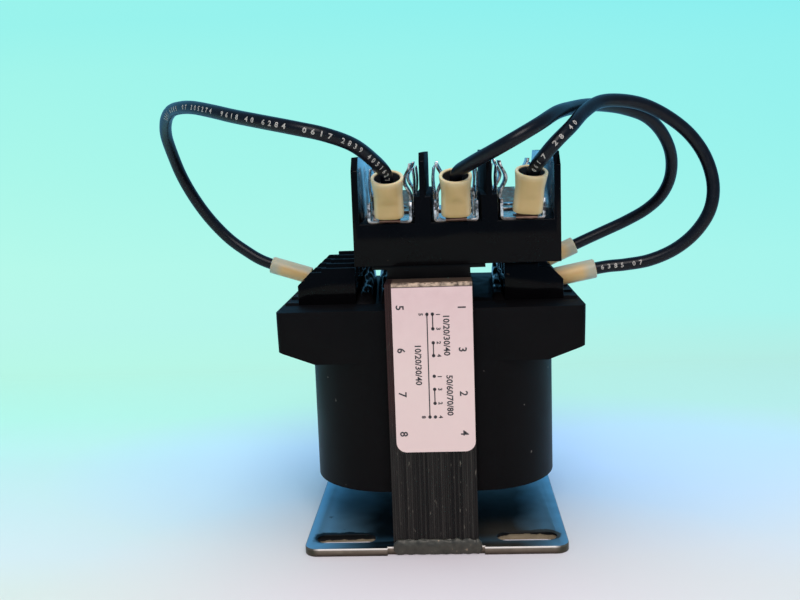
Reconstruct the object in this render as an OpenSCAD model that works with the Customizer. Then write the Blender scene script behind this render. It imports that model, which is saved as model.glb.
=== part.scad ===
// Open-core control transformer with a three-pole fuse block on top and three jumper leads.
// Millimetres, +Z up. The origin is the middle of the mounting plate's underside.
// X runs across the lamination stack, Y along the core, and the front is at -Y.

/* [Mounting plate] */
// Plate size across the stack
plate_w = 79.4; // [70:0.2:100]
// Plate size along the core
plate_l = 97.2; // [80:0.2:120]
// Plate thickness
plate_t = 2.4; // [1.6:0.1:4]
// Radius of the plate's corners
plate_corner_r = 4; // [1:0.5:6]
// Plate left outside the end of a slot
slot_end_margin = 3.2; // [1.5:0.1:8]
// Distance from the front or rear edge to the middle of a slot
slot_edge = 7.8; // [5:0.1:12]
// Overall length of a slot
slot_l = 18; // [10:0.5:20]
// Width of a slot
slot_w = 6; // [4:0.1:7]
// Width of the weld notch in the front and rear edges
notch_w = 29; // [27:0.5:33]
// Length of a weld bead
weld_l = 24; // [14:0.5:25]
// Radius of a weld bead
weld_r = 2.2; // [1.8:0.1:2.4]
// How far a weld bead stands out from the core
weld_proud = 0.9; // [0.4:0.1:1.2]

/* [Core] */
// Thickness of the lamination stack
stack_w = 25.4; // [20:0.2:32]
// Length of a lamination
core_l = 95.2; // [84:0.2:110]
// Height of the closed core
core_h = 79.4; // [68:0.2:95]
// Width of the top and bottom yokes
yoke_w = 15.9; // [12:0.1:18]
// Width of an outer leg
outer_leg_w = 15.9; // [12:0.1:18]
// Width of the centre leg
centre_leg_w = 31.8; // [26:0.2:36]

/* [Coil case] */
// Width of the moulded case across the stack
case_w = 76; // [70:0.5:80]
// Length of the moulded case along the core
case_l = 81; // [78:0.5:86]
// Corner radius of the case
case_corner_r = 24; // [18:0.5:26]
// How far the case hangs below the core's windows
case_drop = 1.3; // [0.5:0.1:4]
// How far the case rises above the core's windows
case_crown = 7.1; // [5.5:0.1:9]
// Width of the terminal flange across the stack
flange_w = 92; // [84:0.5:104]
// Length of the terminal flange along the core
flange_l = 80; // [72:0.5:84]
// Height of the flange's outer face
flange_h = 12; // [8:0.5:16]
// Height of the sloped underside of the flange
flange_slope_h = 4; // [2:0.5:8]
// How far the sloped underside runs in behind the case's side
flange_slope_in = 3.2; // [0:0.1:8]
// How far the flange's outer face leans in at its foot
flange_draft = 0.4; // [0:0.1:2]
// Radius of the flange's upright corners
flange_corner_r = 2; // [0.5:0.25:4]
// Height of the low ribs on the flange
rib_h = 0.7; // [0.4:0.1:1.6]
// Bare edge of the flange outside the ribs
rib_margin = 0.8; // [0.4:0.1:2]

/* [Coil] */
// Gap between the centre leg and the coil former
former_gap = 0.25; // [0.1:0.05:0.4]
// Wall of the coil former
former_t = 1.4; // [0.8:0.1:1.8]
// Build of the secondary winding
secondary_build = 4.6; // [3:0.1:7]
// Insulation between the windings
insulation_t = 0.4; // [0.2:0.1:0.8]
// Potting between the primary winding and the outer legs
potting_gap = 1; // [0.5:0.05:6]

/* [Terminal blocks] */
// Terminal spacing
terminal_pitch = 12.5; // [11.5:0.1:13.5]
// Thickness of a barrier between terminals
barrier_t = 2; // [1.2:0.1:2.6]
// Distance from the middle to the block's inner face
block_inner = 23; // [21:0.5:24]
// Flange left bare outside the block
block_margin = 5; // [2:0.25:8]
// Height of the barriers above the flange
barrier_h = 10; // [8:0.25:14]
// Step up on the inner part of a barrier
shoulder_h = 1.2; // [0.4:0.1:2]
// Distance from a barrier's outer face to that step
shoulder_in = 7.5; // [5:0.1:12]
// Gap between the barriers and the fuse block above
barrier_gap = 1.6; // [0.5:0.1:5]
// Size of the sloped corner on a barrier
barrier_chamfer = 3.9; // [1:0.1:7]
// Thickness of the block's floor
block_floor_t = 1.2; // [0.8:0.1:1.6]
// Thickness of the wall behind the terminals
back_wall_t = 2; // [1.2:0.1:2.4]
// Height of the wall behind the terminals
back_wall_h = 7; // [4:0.5:9]

/* [Terminal hardware] */
// Gap between a terminal plate and the wall behind it
plate_gap = 0.5; // [0.2:0.1:1.5]
// Length of a terminal plate
terminal_plate_l = 12; // [10:0.5:14]
// Width of a terminal plate
terminal_plate_w = 8.8; // [7:0.1:9.6]
// Thickness of a terminal plate
terminal_plate_t = 0.8; // [0.6:0.1:1.2]
// Side of the square clamp washer
washer_side = 8.2; // [7:0.1:8.6]
// Thickness of the clamp washer
washer_t = 1; // [0.8:0.1:1.4]
// Diameter of a terminal screw's shank
screw_d = 4; // [3:0.1:4.4]
// Diameter of a terminal screw's head
screw_head_d = 7.4; // [6:0.1:8]
// Height of a terminal screw's head
screw_head_h = 2.8; // [2:0.1:3.2]
// Length of a terminal screw's shank
screw_l = 8; // [5:0.5:10]
// Width of the driving slot in a screw head
screw_slot_w = 1.2; // [0.8:0.1:1.6]
// Depth of the driving slot in a screw head
screw_slot_d = 1.2; // [0.6:0.1:1.6]

/* [Fuse block] */
// Width of the fuse block across its poles
holder_w = 61.2; // [55:0.2:72]
// Length of the fuse block along the fuses
holder_l = 74; // [66:0.5:84]
// Sideways offset of the fuse block from the core
holder_offset = 8.6; // [0:0.2:9]
// Height of the fuse block's base
holder_base_h = 12.5; // [10:0.5:16]
// Height of the walls above the base
holder_wall_h = 19.7; // [16:0.1:22]
// Gap between a clip's spring and the rib beside it
bay_gap = 0.15; // [0.1:0.05:1]
// Extra width of the fuse block outside the two end poles
end_margin = 1.2; // [0.6:0.1:4]
// Thickness of the end walls
end_wall_t = 2; // [1.4:0.1:2.4]
// Thickness of the barriers between poles
pole_barrier_t = 1.6; // [1.2:0.1:2.4]
// Height of the rib at the foot of a pole barrier
pole_rib_h = 7.7; // [4:0.1:10]
// Sloped corner at each end of the end walls
wall_chamfer = 4; // [2:0.5:9]
// Sloped corner at each end of the barriers between poles
pole_barrier_chamfer = 2.5; // [1:0.5:9]
// How far the barriers between poles stand above the end walls
pole_barrier_rise = 0.8; // [0:0.1:2]
// Sheet thickness of the bracket
bracket_t = 1.2; // [0.8:0.1:1.6]
// How far each end of the bracket stops short of the fuse block's end
bracket_setback = 1; // [0:0.25:6]
// Edge of the stack left bare beside the bracket's ends
bracket_inset = 0.3; // [0:0.1:1]
// How far the bracket's top stands out beside its ends
bracket_wing = 4.5; // [0:0.1:6]
// Spacing of the fuse block's two fixing screws
fixing_pitch = 11; // [8:0.5:14]
// Shank diameter of a fixing screw
fixing_d = 3.5; // [3:0.1:4]
// Head diameter of a fixing screw
fixing_head_d = 6.4; // [5.6:0.1:7]
// Head height of a fixing screw
fixing_head_h = 2.2; // [1.6:0.1:2.6]

/* [Fuse clips] */
// Diameter of the fuse that the clips take
fuse_d = 10.3; // [9:0.1:11.5]
// Sheet thickness of a clip
clip_t = 0.8; // [0.6:0.1:0.9]
// How far a side lip stands outside the gripping leaf
lip_step = 0.4; // [0.2:0.05:0.8]
// Length of a clip's base
clip_l = 27; // [25:0.5:29]
// Distance from the end of the fuse block to a clip
clip_inset = 1; // [0.5:0.1:1.5]
// Length of the low side lips
lip_l = 13; // [8:0.5:13]
// Height of the low side lips
lip_h = 6.2; // [5:0.1:10]
// Outside radius of the bend at the foot of a side lip
lip_bend_r = 1.2; // [1:0.1:2]
// Length of a gripping leaf along the fuse
leaf_l = 10; // [8:0.5:10]
// Height of a gripping leaf
leaf_h = 17.2; // [14.5:0.1:18]
// How far a leaf pinches in above the fuse
leaf_pinch = 2; // [0.8:0.05:2.4]
// Gap between a leaf and the fuse
leaf_gap = 0.2; // [0.1:0.05:0.3]
// Sheet thickness of the outer spring
spring_t = 0.6; // [0.4:0.05:0.7]
// How far the outer spring bows out
spring_bow = 0.4; // [0.3:0.05:0.9]
// Bare edge of a leaf beyond the outer spring
spring_inset = 0.5; // [0.2:0.1:1]
// Shank diameter of a clip rivet
rivet_d = 3; // [2.4:0.1:3.4]
// Head diameter of a clip rivet
rivet_head_d = 5; // [4.4:0.1:5.6]
// Head height of a clip rivet
rivet_head_h = 0.8; // [0.6:0.1:1.2]
// Distance from a clip's end to its rivet
rivet_inset = 8; // [7:0.25:9]

/* [Tab connectors] */
// Width of a clip's push-on tab
tab_w = 6.3; // [4.8:0.1:7]
// Length of a clip's push-on tab
tab_l = 8.2; // [7:0.1:9]
// Lean of a front tab away from the fuse block, in degrees
tab_lean = 26; // [15:1:32]
// Lean of the third pole's front tab away from the fuse block, in degrees
third_tab_lean = 21; // [15:1:32]
// Lean of a rear tab away from the fuse block, in degrees
rear_tab_lean = 45; // [15:1:60]
// Sideways lean of the third pole's front tab, in degrees
tab_side_lean = 5; // [0:0.5:10]
// Sideways shift of the third pole's front tab
tab_side_shift = 1; // [0:0.1:1.4]
// Distance from a tab's root to the connector sleeve
sleeve_start = 2.6; // [1.6:0.1:4]
// Length of a connector sleeve
sleeve_l = 12.4; // [11.6:0.1:15]
// Wall of a sleeve beside the metal receptacle
sleeve_wall = 0.8; // [0.6:0.05:1.2]
// How far a sleeve draws in at its waist
sleeve_waist = 0.2; // [0:0.05:0.3]
// How far a sleeve flares out at its rim
sleeve_flare = 0.35; // [0.1:0.05:0.6]
// Wall of a sleeve at its rim
sleeve_rim_wall = 0.85; // [0.5:0.05:1.2]
// Wall of a sleeve over the flat of the receptacle
sleeve_flat_wall = 2.1; // [1:0.1:2.4]
// Edge of the metal receptacle beside the tab
receptacle_edge = 0.45; // [0.3:0.05:0.6]
// Fold of the metal receptacle over the tab
receptacle_fold = 0.8; // [0.5:0.05:1]
// Length of the metal receptacle
receptacle_l = 6.8; // [6.4:0.1:7.6]
// Wall of a crimped wire barrel round the lead
barrel_wall = 0.25; // [0.15:0.05:0.5]
// Length of a receptacle's wire barrel
barrel_l = 2.2; // [1.6:0.1:2.4]
// Gap round the metal in its sleeve and round a tab
connector_gap = 0.1; // [0.05:0.01:0.12]

/* [Ring terminals] */
// Outer diameter of a ring
ring_d = 7.8; // [7:0.1:8.2]
// Width of a ring terminal's neck
neck_w = 4.4; // [3.6:0.1:5]
// Sheet thickness of a ring terminal
ring_t = 0.8; // [0.6:0.05:1]
// Length of a ring terminal's barrel
ring_barrel_l = 8.5; // [7:0.1:9.5]
// Length of a ring terminal's sleeve
ring_sleeve_l = 12.7; // [11:0.1:14]
// Wall of a ring terminal's sleeve
ring_sleeve_wall = 0.7; // [0.4:0.05:1]
// Bare barrel between the neck and the sleeve
ring_sleeve_inset = 0.8; // [0.6:0.1:1.2]

/* [Label] */
// Bare core to the left of the label
label_left = 2; // [0.2:0.1:4]
// Bare core to the right of the label
label_right = 0.2; // [0.2:0.1:4]
// Height of the label on the core's front
label_h = 50; // [40:0.5:56]
// Gap between the label's folded end and the bracket
label_gap = 2.6; // [1:0.1:8]
// Radius of the label's lower corners
label_corner_r = 3; // [1:0.25:5]
// Thickness of the label
label_t = 0.2; // [0.1:0.05:0.3]

/* [Leads] */
// Outer diameter of a lead
lead_d = 3.9; // [3.4:0.1:4]

/* [Hidden] */
$fn = 48;
// Overlap that carries a cut through a face
cut = 1;
clear = 0.1;

// Terminals on each side
terminal_count = 4;
// Radius of the coil former's inner corners, which clear the corners of the centre leg
former_corner_r = 2 * former_gap;
// Distance from the end of the fuse-clip base to its leaves
leaf_margin = 2;
// Straight foot of a leaf, below its curve
leaf_foot = 6.6;
// How far the outer spring stops short of the leaf's tip
spring_short = 1.4;
// Distance from a connector sleeve's foot to the metal inside it
receptacle_inset = 0.4;
// Height of a connector sleeve's rim
sleeve_rim_h = 0.5;
// Bevel at the ends of a ring terminal's sleeve
sleeve_bevel = 0.3;
// Flat neck of a ring terminal beyond its clamp washer
neck_flat = 0.8;
// Spare depth under a terminal screw
screw_spare = 0.5;

// Heights of the core
core_z = plate_t;
window_z0 = core_z + yoke_w;
window_z1 = core_z + core_h - yoke_w;
core_top = core_z + core_h;
window_w = (core_l - centre_leg_w) / 2 - outer_leg_w;

// Places of the slots
slot_x = plate_w / 2 - slot_end_margin - slot_l / 2;
slot_y = plate_l / 2 - slot_edge;

// Builds of the coil over the centre leg, out to the potting in the window
secondary_out = former_t + secondary_build;
insulation_out = secondary_out + insulation_t;
primary_build = window_w - former_gap - insulation_out - potting_gap;
coil_out = insulation_out + primary_build;
wind_z0 = window_z0 + former_t;
wind_z1 = window_z1 - former_t;

// Heights of the coil case and the terminal blocks
case_z = window_z0 - case_drop;
flange_top = window_z1 + case_crown;
flange_foot = flange_top - flange_h;
block_floor = flange_top + block_floor_t;
contact_top = block_floor + terminal_plate_t;
washer_z = contact_top + ring_t;
screw_seat = washer_z + washer_t;
barrier_count = terminal_count + 1;
block_l = terminal_count * terminal_pitch + barrier_t;
block_outer = flange_w / 2 - block_margin;
screw_x = block_inner + back_wall_t + plate_gap + terminal_plate_l / 2;

// Places across a fuse clip, measured from the middle of its pole
leaf_half = fuse_d / 2 + leaf_gap + clip_t / 2;
leaf_outside = leaf_half + clip_t / 2;
clip_w = 2 * (leaf_outside + lip_step);
spring_half = leaf_outside + clear + spring_t / 2;
bay_w = 2 * (spring_half + spring_bow + spring_t / 2 + bay_gap);

// Heights and places of the fuse block, which clears the terminal barriers
bracket_h = flange_top + barrier_h + shoulder_h + barrier_gap - core_top;
holder_z = core_top + bracket_h;
holder_floor = holder_z + holder_base_h;
holder_top = holder_floor + holder_wall_h;
holder_end = -holder_l / 2;
holder_x0 = holder_offset - holder_w / 2;
poles = [1, 2, 3];
pole_pitch = (holder_w - 2 * end_margin) / len(poles);
pole_rib_w = pole_pitch - bay_w;
bracket_w = stack_w - 2 * bracket_inset;
bracket_l = holder_l - 2 * bracket_setback;

// Places along a front clip, from its outer end towards the middle
clip_y0 = holder_end + clip_inset;
clip_y1 = clip_y0 + clip_l;
leaf_y1 = clip_y1 - leaf_margin;
leaf_y0 = leaf_y1 - leaf_l;
clip_top = holder_floor + clip_t;
leaf_curve_z = holder_floor + leaf_foot;
leaf_tip = holder_floor + leaf_h;
spring_tip = leaf_tip - spring_short;
spring_y0 = leaf_y0 + spring_inset;
spring_y1 = leaf_y1 - spring_inset;
leaf_steps = 20;
tab_root = [0, clip_y0, holder_floor + clip_t / 2];
barrel_end = sleeve_start + receptacle_inset + receptacle_l + barrel_l;
receptacle_w = tab_w + 2 * receptacle_edge;
receptacle_t = clip_t + 2 * receptacle_fold;
barrel_d = lead_d + 2 * barrel_wall;
sleeve_d = receptacle_w + 2 * sleeve_wall;
sleeve_waist_d = sleeve_d - 2 * sleeve_waist;
sleeve_rim_d = sleeve_d + 2 * sleeve_flare;
sleeve_mouth_d = sleeve_rim_d - 2 * sleeve_rim_wall;
sleeve_flat = receptacle_t + 2 * sleeve_flat_wall;

// Rests of the three ring terminals: side, terminal number, and the barrel's tilt in degrees
ring_side = [-1, 1, 1];
ring_number = [terminal_count, terminal_count, 1];
ring_tilt = [17.8, 24, 11];
// Run and lift of each neck, from its bend to the barrel's inner end
ring_bend_x = screw_x + washer_side / 2 + neck_flat;
ring_run = [7.8, 1.6, 2.1];
ring_lift = [1.3, 3.8, 3.1];
ring_sleeve_d = barrel_d + 2 * (connector_gap + ring_sleeve_wall);

// Places of the label
label_w = stack_w - label_left - label_right;
label_offset = (label_left - label_right) / 2;
label_fold = (core_l - bracket_l) / 2 - label_gap;

// Route of each lead between its two connectors
lead_routes = [
    [
        [-11.4, -43.9, 113.3], [-14, -49.5, 117], [-19, -56, 121.5], [-26, -61, 124.5],
        [-34, -61.5, 126.5], [-43, -58, 128.5], [-52, -52, 130.5], [-60, -45, 132.5],
        [-67, -37.5, 134], [-73, -29.5, 134.5], [-78.5, -20.5, 134], [-83, -11, 131.5],
        [-86, -1.5, 127], [-86.5, 6.5, 120.5], [-85.5, 12.5, 113], [-82.5, 16.5, 105],
        [-78, 18.5, 97.5], [-72, 19.5, 90.5], [-65.5, 19.2, 85.5], [-60, 18.9, 82.2],
    ],
    [
        [9.3, -43.9, 112.9], [13, -49.5, 115.5], [18.5, -55, 118.5], [25, -57, 122],
        [31.5, -54, 125.5], [37, -46.5, 128.5], [42.5, -36.5, 130], [48.5, -26.5, 131],
        [55, -17.5, 131], [62.5, -10, 130], [70, -5, 127.5], [76, -0.5, 122.5],
        [80, 4, 115.5], [81, 8.5, 108], [79, 12.5, 101.5], [74.5, 16, 96.5],
        [68, 18.5, 92.5], [61, 19.2, 89.3], [54, 19, 86.3],
    ],
    [
        [31.5, -43.5, 113.9], [33.5, -48, 117], [36.5, -49, 120.5], [41, -46, 124.5],
        [45.5, -39.5, 128.5], [51, -32.5, 131.5], [58, -27, 132], [66, -23, 130.5],
        [74, -20.5, 126.5], [80.5, -20, 121], [85, -20.5, 114], [87, -21.5, 106],
        [86, -22, 98.5], [82, -21.5, 91.8], [76, -20.5, 86.6], [68.5, -19.7, 83.3],
        [61, -19, 82], [55, -18.8, 81.5],
    ],
];
lead_sides = 8;

// Connector ends that the routes are drawn for. A route follows its ends when they move
lead_starts = [[-11, -41.3, 109.5], [8.6, -41.3, 109.5], [30.2, -40.3, 109.9]];
lead_stops = [[-52.3, 18.75, 79.3], [45.8, 18.75, 82.7], [46.8, -18.75, 80.1]];

sides = ["left", "right"];
ends = ["front", "rear"];

function side_sign(s) = s == "left" ? -1 : 1;
function pole_x(i) = holder_offset + (i - 2) * pole_pitch;
function terminal_y(i) = (i - (terminal_count + 1) / 2) * terminal_pitch;
function barrier_y(i) = (i - (barrier_count + 1) / 2) * terminal_pitch;
function unit(v) = v / norm(v);

// Direction of a front tab, leaning out from the block and, on the third pole, sideways
function tab_tilt(i) = i == 3 ? third_tab_lean : tab_lean;
function tab_side(i) = i == 3 ? tab_side_lean : 0;
function tab_x(i) = pole_x(i) + (i == 3 ? tab_side_shift : 0);
function tab_dir(i) =
    [cos(tab_tilt(i)) * sin(tab_side(i)), -sin(tab_tilt(i)), cos(tab_tilt(i)) * cos(tab_side(i))];
function tab_point(i, s) = [tab_x(i), tab_root.y, tab_root.z] + s * tab_dir(i);

// Points on the axis of a ring terminal's barrel, measured from its inner end
function ring_dir(i) =
    [ring_side[i - 1] * cos(ring_tilt[i - 1]), 0, sin(ring_tilt[i - 1])];
function ring_inner(i) =
    [ring_bend_x + ring_run[i - 1], contact_top + ring_t / 2 + ring_lift[i - 1]];
function ring_point(i, s) =
    [ring_side[i - 1] * ring_inner(i).x, terminal_y(ring_number[i - 1]), ring_inner(i).y]
    + s * ring_dir(i);

// Shapes shared by several pieces

module rounded_rect(w, l, r) {
    square([w - 2 * r, l], center = true);
    square([w, l - 2 * r], center = true);
    for (x = [-1, 1], y = [-1, 1])
        translate([x * (w / 2 - r), y * (l / 2 - r)])
            circle(r);
}

// Extrudes a profile drawn in X and Z from y0 to y1
module along_y(y0, y1) {
    translate([0, y1, 0])
        rotate([90, 0, 0])
            linear_extrude(y1 - y0)
                children();
}

module block_xyz(lo, hi) {
    translate(lo)
        cube(hi - lo);
}

// Draws on the right as modelled, or on the left as its mirror image
module on_side(s) {
    mirror([s == "left" ? 1 : 0, 0, 0])
        children();
}

// Draws at the front as modelled, or at the rear as its mirror image
module at_end(e) {
    mirror([0, e == "rear" ? 1 : 0, 0])
        children();
}

// Mounting plate and welds

module slot(w, l) {
    square([l - w, w], center = true);
    for (x = [-1, 1])
        translate([x * (l - w) / 2, 0])
            circle(w / 2);
}

module mounting_plate() {
    color("#8f9aa3")
        linear_extrude(plate_t)
            difference() {
                rounded_rect(plate_w, plate_l, plate_corner_r);
                for (x = [-1, 1], y = [-1, 1])
                    translate([x * slot_x, y * slot_y])
                        slot(slot_w, slot_l);
                for (y = [-1, 1])
                    translate([0, y * (core_l / 2 + plate_l / 2)])
                        square([notch_w, plate_l], center = true);
            }
}

module weld_bead() {
    color("#3d3a38")
        intersection() {
            translate([-weld_l / 2, -core_l / 2 - weld_proud + weld_r, plate_t])
                rotate([0, 90, 0])
                    cylinder(r = weld_r, h = weld_l);
            block_xyz([-weld_l, -core_l / 2 - weld_r, 0], [weld_l, -core_l / 2, plate_t + weld_r]);
        }
}

// Core

module core_block(y0, y1, z0, z1) {
    block_xyz([-stack_w / 2, y0, z0], [stack_w / 2, y1, z1]);
}

module e_core() {
    color("#3c3a36") {
        core_block(-core_l / 2, core_l / 2, core_z, window_z0);
        core_block(-centre_leg_w / 2, centre_leg_w / 2, core_z, window_z1);
        core_block(-core_l / 2, -core_l / 2 + outer_leg_w, core_z, window_z1);
        core_block(core_l / 2 - outer_leg_w, core_l / 2, core_z, window_z1);
    }
}

module i_core() {
    color("#403d39")
        core_block(-core_l / 2, core_l / 2, window_z1, core_top);
}

// Coil

// Outline of the coil at a given build over the centre leg
module coil_outline(build) {
    grow = 2 * (former_gap + build);
    rounded_rect(stack_w + grow, centre_leg_w + grow, former_corner_r + build);
}

module coil_layer(build0, build1, z0, z1) {
    translate([0, 0, z0])
        linear_extrude(z1 - z0)
            difference() {
                coil_outline(build1);
                coil_outline(build0);
            }
}

module coil_former() {
    color("#d8d2c0") {
        coil_layer(0, former_t, window_z0, window_z1);
        coil_layer(0, coil_out, window_z0, wind_z0);
        coil_layer(0, coil_out, wind_z1, window_z1);
    }
}

module secondary_winding() {
    color("#b5652c")
        coil_layer(former_t, secondary_out, wind_z0, wind_z1);
}

module winding_insulation() {
    color("#c9b27a")
        coil_layer(secondary_out, insulation_out, wind_z0, wind_z1);
}

module primary_winding() {
    color("#a8551f")
        coil_layer(insulation_out, coil_out, wind_z0, wind_z1);
}

module flange_profile() {
    top = flange_w / 2;
    foot = top - flange_draft;
    root = case_w / 2 - flange_slope_in;
    polygon([
        [-root, flange_foot - flange_slope_h], [root, flange_foot - flange_slope_h],
        [foot, flange_foot], [top, flange_top], [-top, flange_top], [-foot, flange_foot],
    ]);
}

module coil_case() {
    color("#17171a") {
        difference() {
            union() {
                translate([0, 0, case_z])
                    linear_extrude(flange_top - case_z)
                        rounded_rect(case_w, case_l, case_corner_r);
                intersection() {
                    along_y(-flange_l / 2, flange_l / 2)
                        flange_profile();
                    linear_extrude(flange_top)
                        rounded_rect(flange_w, flange_l, flange_corner_r);
                }
                for (s = sides)
                    on_side(s)
                        flange_ribs();
            }
            e_core();
            core_block(-core_l / 2, core_l / 2, window_z1, flange_top + cut);
            translate([0, 0, window_z0])
                linear_extrude(window_z1 - window_z0)
                    coil_outline(coil_out);
            for (s = sides)
                on_side(s)
                    terminal_holes(screw_seat - screw_l - screw_spare, flange_top + cut);
        }
    }
}

// Low ribs that carry the terminal barriers out over the flange
module flange_ribs() {
    for (i = [1:barrier_count])
        block_xyz(
            [block_outer, barrier_y(i) - barrier_t / 2, flange_top],
            [flange_w / 2 - rib_margin, barrier_y(i) + barrier_t / 2, flange_top + rib_h]
        );
}

// Terminal blocks

module terminal_holes(z0, z1) {
    for (i = [1:terminal_count])
        translate([screw_x, terminal_y(i), z0])
            cylinder(d = screw_d + 2 * clear, h = z1 - z0);
}

module barrier_profile() {
    top = flange_top + barrier_h;
    polygon([
        [block_inner, flange_top], [block_outer, flange_top],
        [block_outer, top - barrier_chamfer], [block_outer - barrier_chamfer, top],
        [block_outer - shoulder_in, top], [block_outer - shoulder_in, top + shoulder_h],
        [block_inner, top + shoulder_h],
    ]);
}

module terminal_block(s) {
    color("#141417")
        on_side(s)
            difference() {
                union() {
                    block_xyz(
                        [block_inner, -block_l / 2, flange_top],
                        [block_outer, block_l / 2, block_floor]
                    );
                    block_xyz(
                        [block_inner, -block_l / 2, flange_top],
                        [block_inner + back_wall_t, block_l / 2, flange_top + back_wall_h]
                    );
                    for (i = [1:barrier_count])
                        along_y(barrier_y(i) - barrier_t / 2, barrier_y(i) + barrier_t / 2)
                            barrier_profile();
                }
                terminal_holes(flange_top - cut, block_floor + cut);
            }
}

module terminal_plate(s, i) {
    color("#c7c3b4")
        on_side(s)
            difference() {
                block_xyz(
                    [screw_x - terminal_plate_l / 2, terminal_y(i) - terminal_plate_w / 2, block_floor],
                    [screw_x + terminal_plate_l / 2, terminal_y(i) + terminal_plate_w / 2, contact_top]
                );
                terminal_holes(block_floor - cut, contact_top + cut);
            }
}

module clamp_washers(s) {
    color("#b9bcbe")
        on_side(s)
            for (i = [1:terminal_count])
                difference() {
                    translate([screw_x - washer_side / 2, terminal_y(i) - washer_side / 2, washer_z])
                        cube([washer_side, washer_side, washer_t]);
                    terminal_holes(washer_z - cut, screw_seat + cut);
                }
}

module terminal_screws(s) {
    color("#a9acae")
        on_side(s)
            for (i = [1:terminal_count])
                translate([screw_x, terminal_y(i), screw_seat])
                    difference() {
                        union() {
                            cylinder(d = screw_head_d, h = screw_head_h);
                            translate([0, 0, -screw_l])
                                cylinder(d = screw_d, h = screw_l + screw_head_h / 2);
                        }
                        translate([-screw_head_d, -screw_slot_w / 2, screw_head_h - screw_slot_d])
                            cube([2 * screw_head_d, screw_slot_w, screw_slot_d + cut]);
                    }
}

// Fuse block

module fixing_holes(d, z0, z1) {
    for (y = [-1, 1])
        translate([holder_offset, y * fixing_pitch / 2, z0])
            cylinder(d = d, h = z1 - z0);
}

module fuse_block_bracket() {
    w = bracket_w / 2;
    l = bracket_l / 2;
    color("#1d1c1b")
        difference() {
            union() {
                block_xyz([-w, -l, core_top], [w, l, holder_z]);
                block_xyz(
                    [-w - bracket_wing, -l, holder_z - bracket_t],
                    [w + bracket_wing, l, holder_z]
                );
            }
            block_xyz(
                [-w - cut, -l + bracket_t, core_top - cut],
                [w + cut, l - bracket_t, holder_z - bracket_t]
            );
            fixing_holes(fixing_d + 2 * clear, core_top, holder_z + cut);
        }
}

// Outline of a wall seen from the side, with both top corners sloped
module wall_outline(top, chamfer) {
    polygon([
        [-holder_l / 2, holder_z], [holder_l / 2, holder_z],
        [holder_l / 2, top - chamfer], [holder_l / 2 - chamfer, top],
        [-holder_l / 2 + chamfer, top], [-holder_l / 2, top - chamfer],
    ]);
}

module wall(x0, x1, top, chamfer) {
    translate([x0, 0, 0])
        rotate([90, 0, 90])
            linear_extrude(x1 - x0)
                wall_outline(top, chamfer);
}

module fuse_block() {
    color("#131316")
        difference() {
            union() {
                block_xyz(
                    [holder_x0, holder_end, holder_z],
                    [holder_x0 + holder_w, -holder_end, holder_floor]
                );
                for (x = [holder_x0, holder_x0 + holder_w - end_wall_t])
                    wall(x, x + end_wall_t, holder_top, wall_chamfer);
                for (i = [1, 2]) {
                    x = pole_x(i) + pole_pitch / 2;
                    wall(
                        x - pole_barrier_t / 2, x + pole_barrier_t / 2,
                        holder_top + pole_barrier_rise, pole_barrier_chamfer
                    );
                    block_xyz(
                        [x - pole_rib_w / 2, holder_end, holder_z],
                        [x + pole_rib_w / 2, -holder_end, holder_floor + pole_rib_h]
                    );
                }
            }
            fixing_holes(fixing_d + 2 * clear, holder_z - cut, holder_floor + cut);
            fixing_holes(
                fixing_head_d + 4 * clear, holder_floor - fixing_head_h - clear, holder_floor + cut
            );
            for (e = ends, i = poles)
                at_end(e)
                    clip_seat(i);
        }
}

// Recess for the outer spring's foot, and the hole for the rivet
module clip_seat(i) {
    half = spring_half + spring_t / 2 + clear;
    translate([pole_x(i), 0, 0]) {
        block_xyz(
            [-half, spring_y0 - clear, holder_floor - spring_t],
            [half, spring_y1 + clear, holder_floor + cut]
        );
        translate([0, clip_y0 + rivet_inset, holder_floor - holder_base_h / 2])
            cylinder(d = rivet_d + 2 * clear, h = holder_base_h);
    }
}

module fuse_block_screws() {
    seat = holder_floor - fixing_head_h - clear;
    color("#8d8f90") {
        fixing_holes(fixing_d, core_top + bracket_t, seat + fixing_head_h / 2);
        difference() {
            fixing_holes(fixing_head_d, seat, seat + fixing_head_h);
            for (y = [-1, 1])
                translate([holder_offset, y * fixing_pitch / 2, seat + fixing_head_h])
                    cube([2 * fixing_head_d, screw_slot_w, screw_slot_d], center = true);
        }
    }
}

// Fuse clips

// Distance of a leaf's middle line from the pole, pinched in above the fuse
function leaf_x(z) =
    let (t = max(0, min(1, (z - leaf_curve_z) / (leaf_tip - leaf_curve_z))))
    leaf_half - leaf_pinch * pow(sin(180 * t), 2);

// Distance of the outer spring's middle line from the pole, bowed out and closing on the tip
function spring_x(z) =
    let (t = max(0, min(1, (z - leaf_curve_z) / (spring_tip - leaf_curve_z))))
    spring_half + spring_bow * sin(180 * t);

module clip_leaf() {
    z = [for (k = [0:leaf_steps]) holder_floor + k * leaf_h / leaf_steps];
    polygon(concat(
        [for (k = [0:leaf_steps]) [leaf_x(z[k]) - clip_t / 2, z[k]]],
        [for (k = [leaf_steps:-1:0]) [leaf_x(z[k]) + clip_t / 2, z[k]]]
    ));
}

module spring_leaf() {
    z0 = holder_floor - spring_t;
    z = [for (k = [0:leaf_steps]) z0 + k * (spring_tip - z0) / leaf_steps];
    polygon(concat(
        [for (k = [0:leaf_steps]) [spring_x(z[k]) - spring_t / 2, z[k]]],
        [for (k = [leaf_steps:-1:0]) [spring_x(z[k]) + spring_t / 2, z[k]]]
    ));
}

// Push-on tab, drawn along +Z from its root
module tab_blade() {
    translate([-tab_w / 2, -clip_t / 2, -clip_t / 2])
        cube([tab_w, clip_t, tab_l + clip_t / 2]);
}

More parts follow.
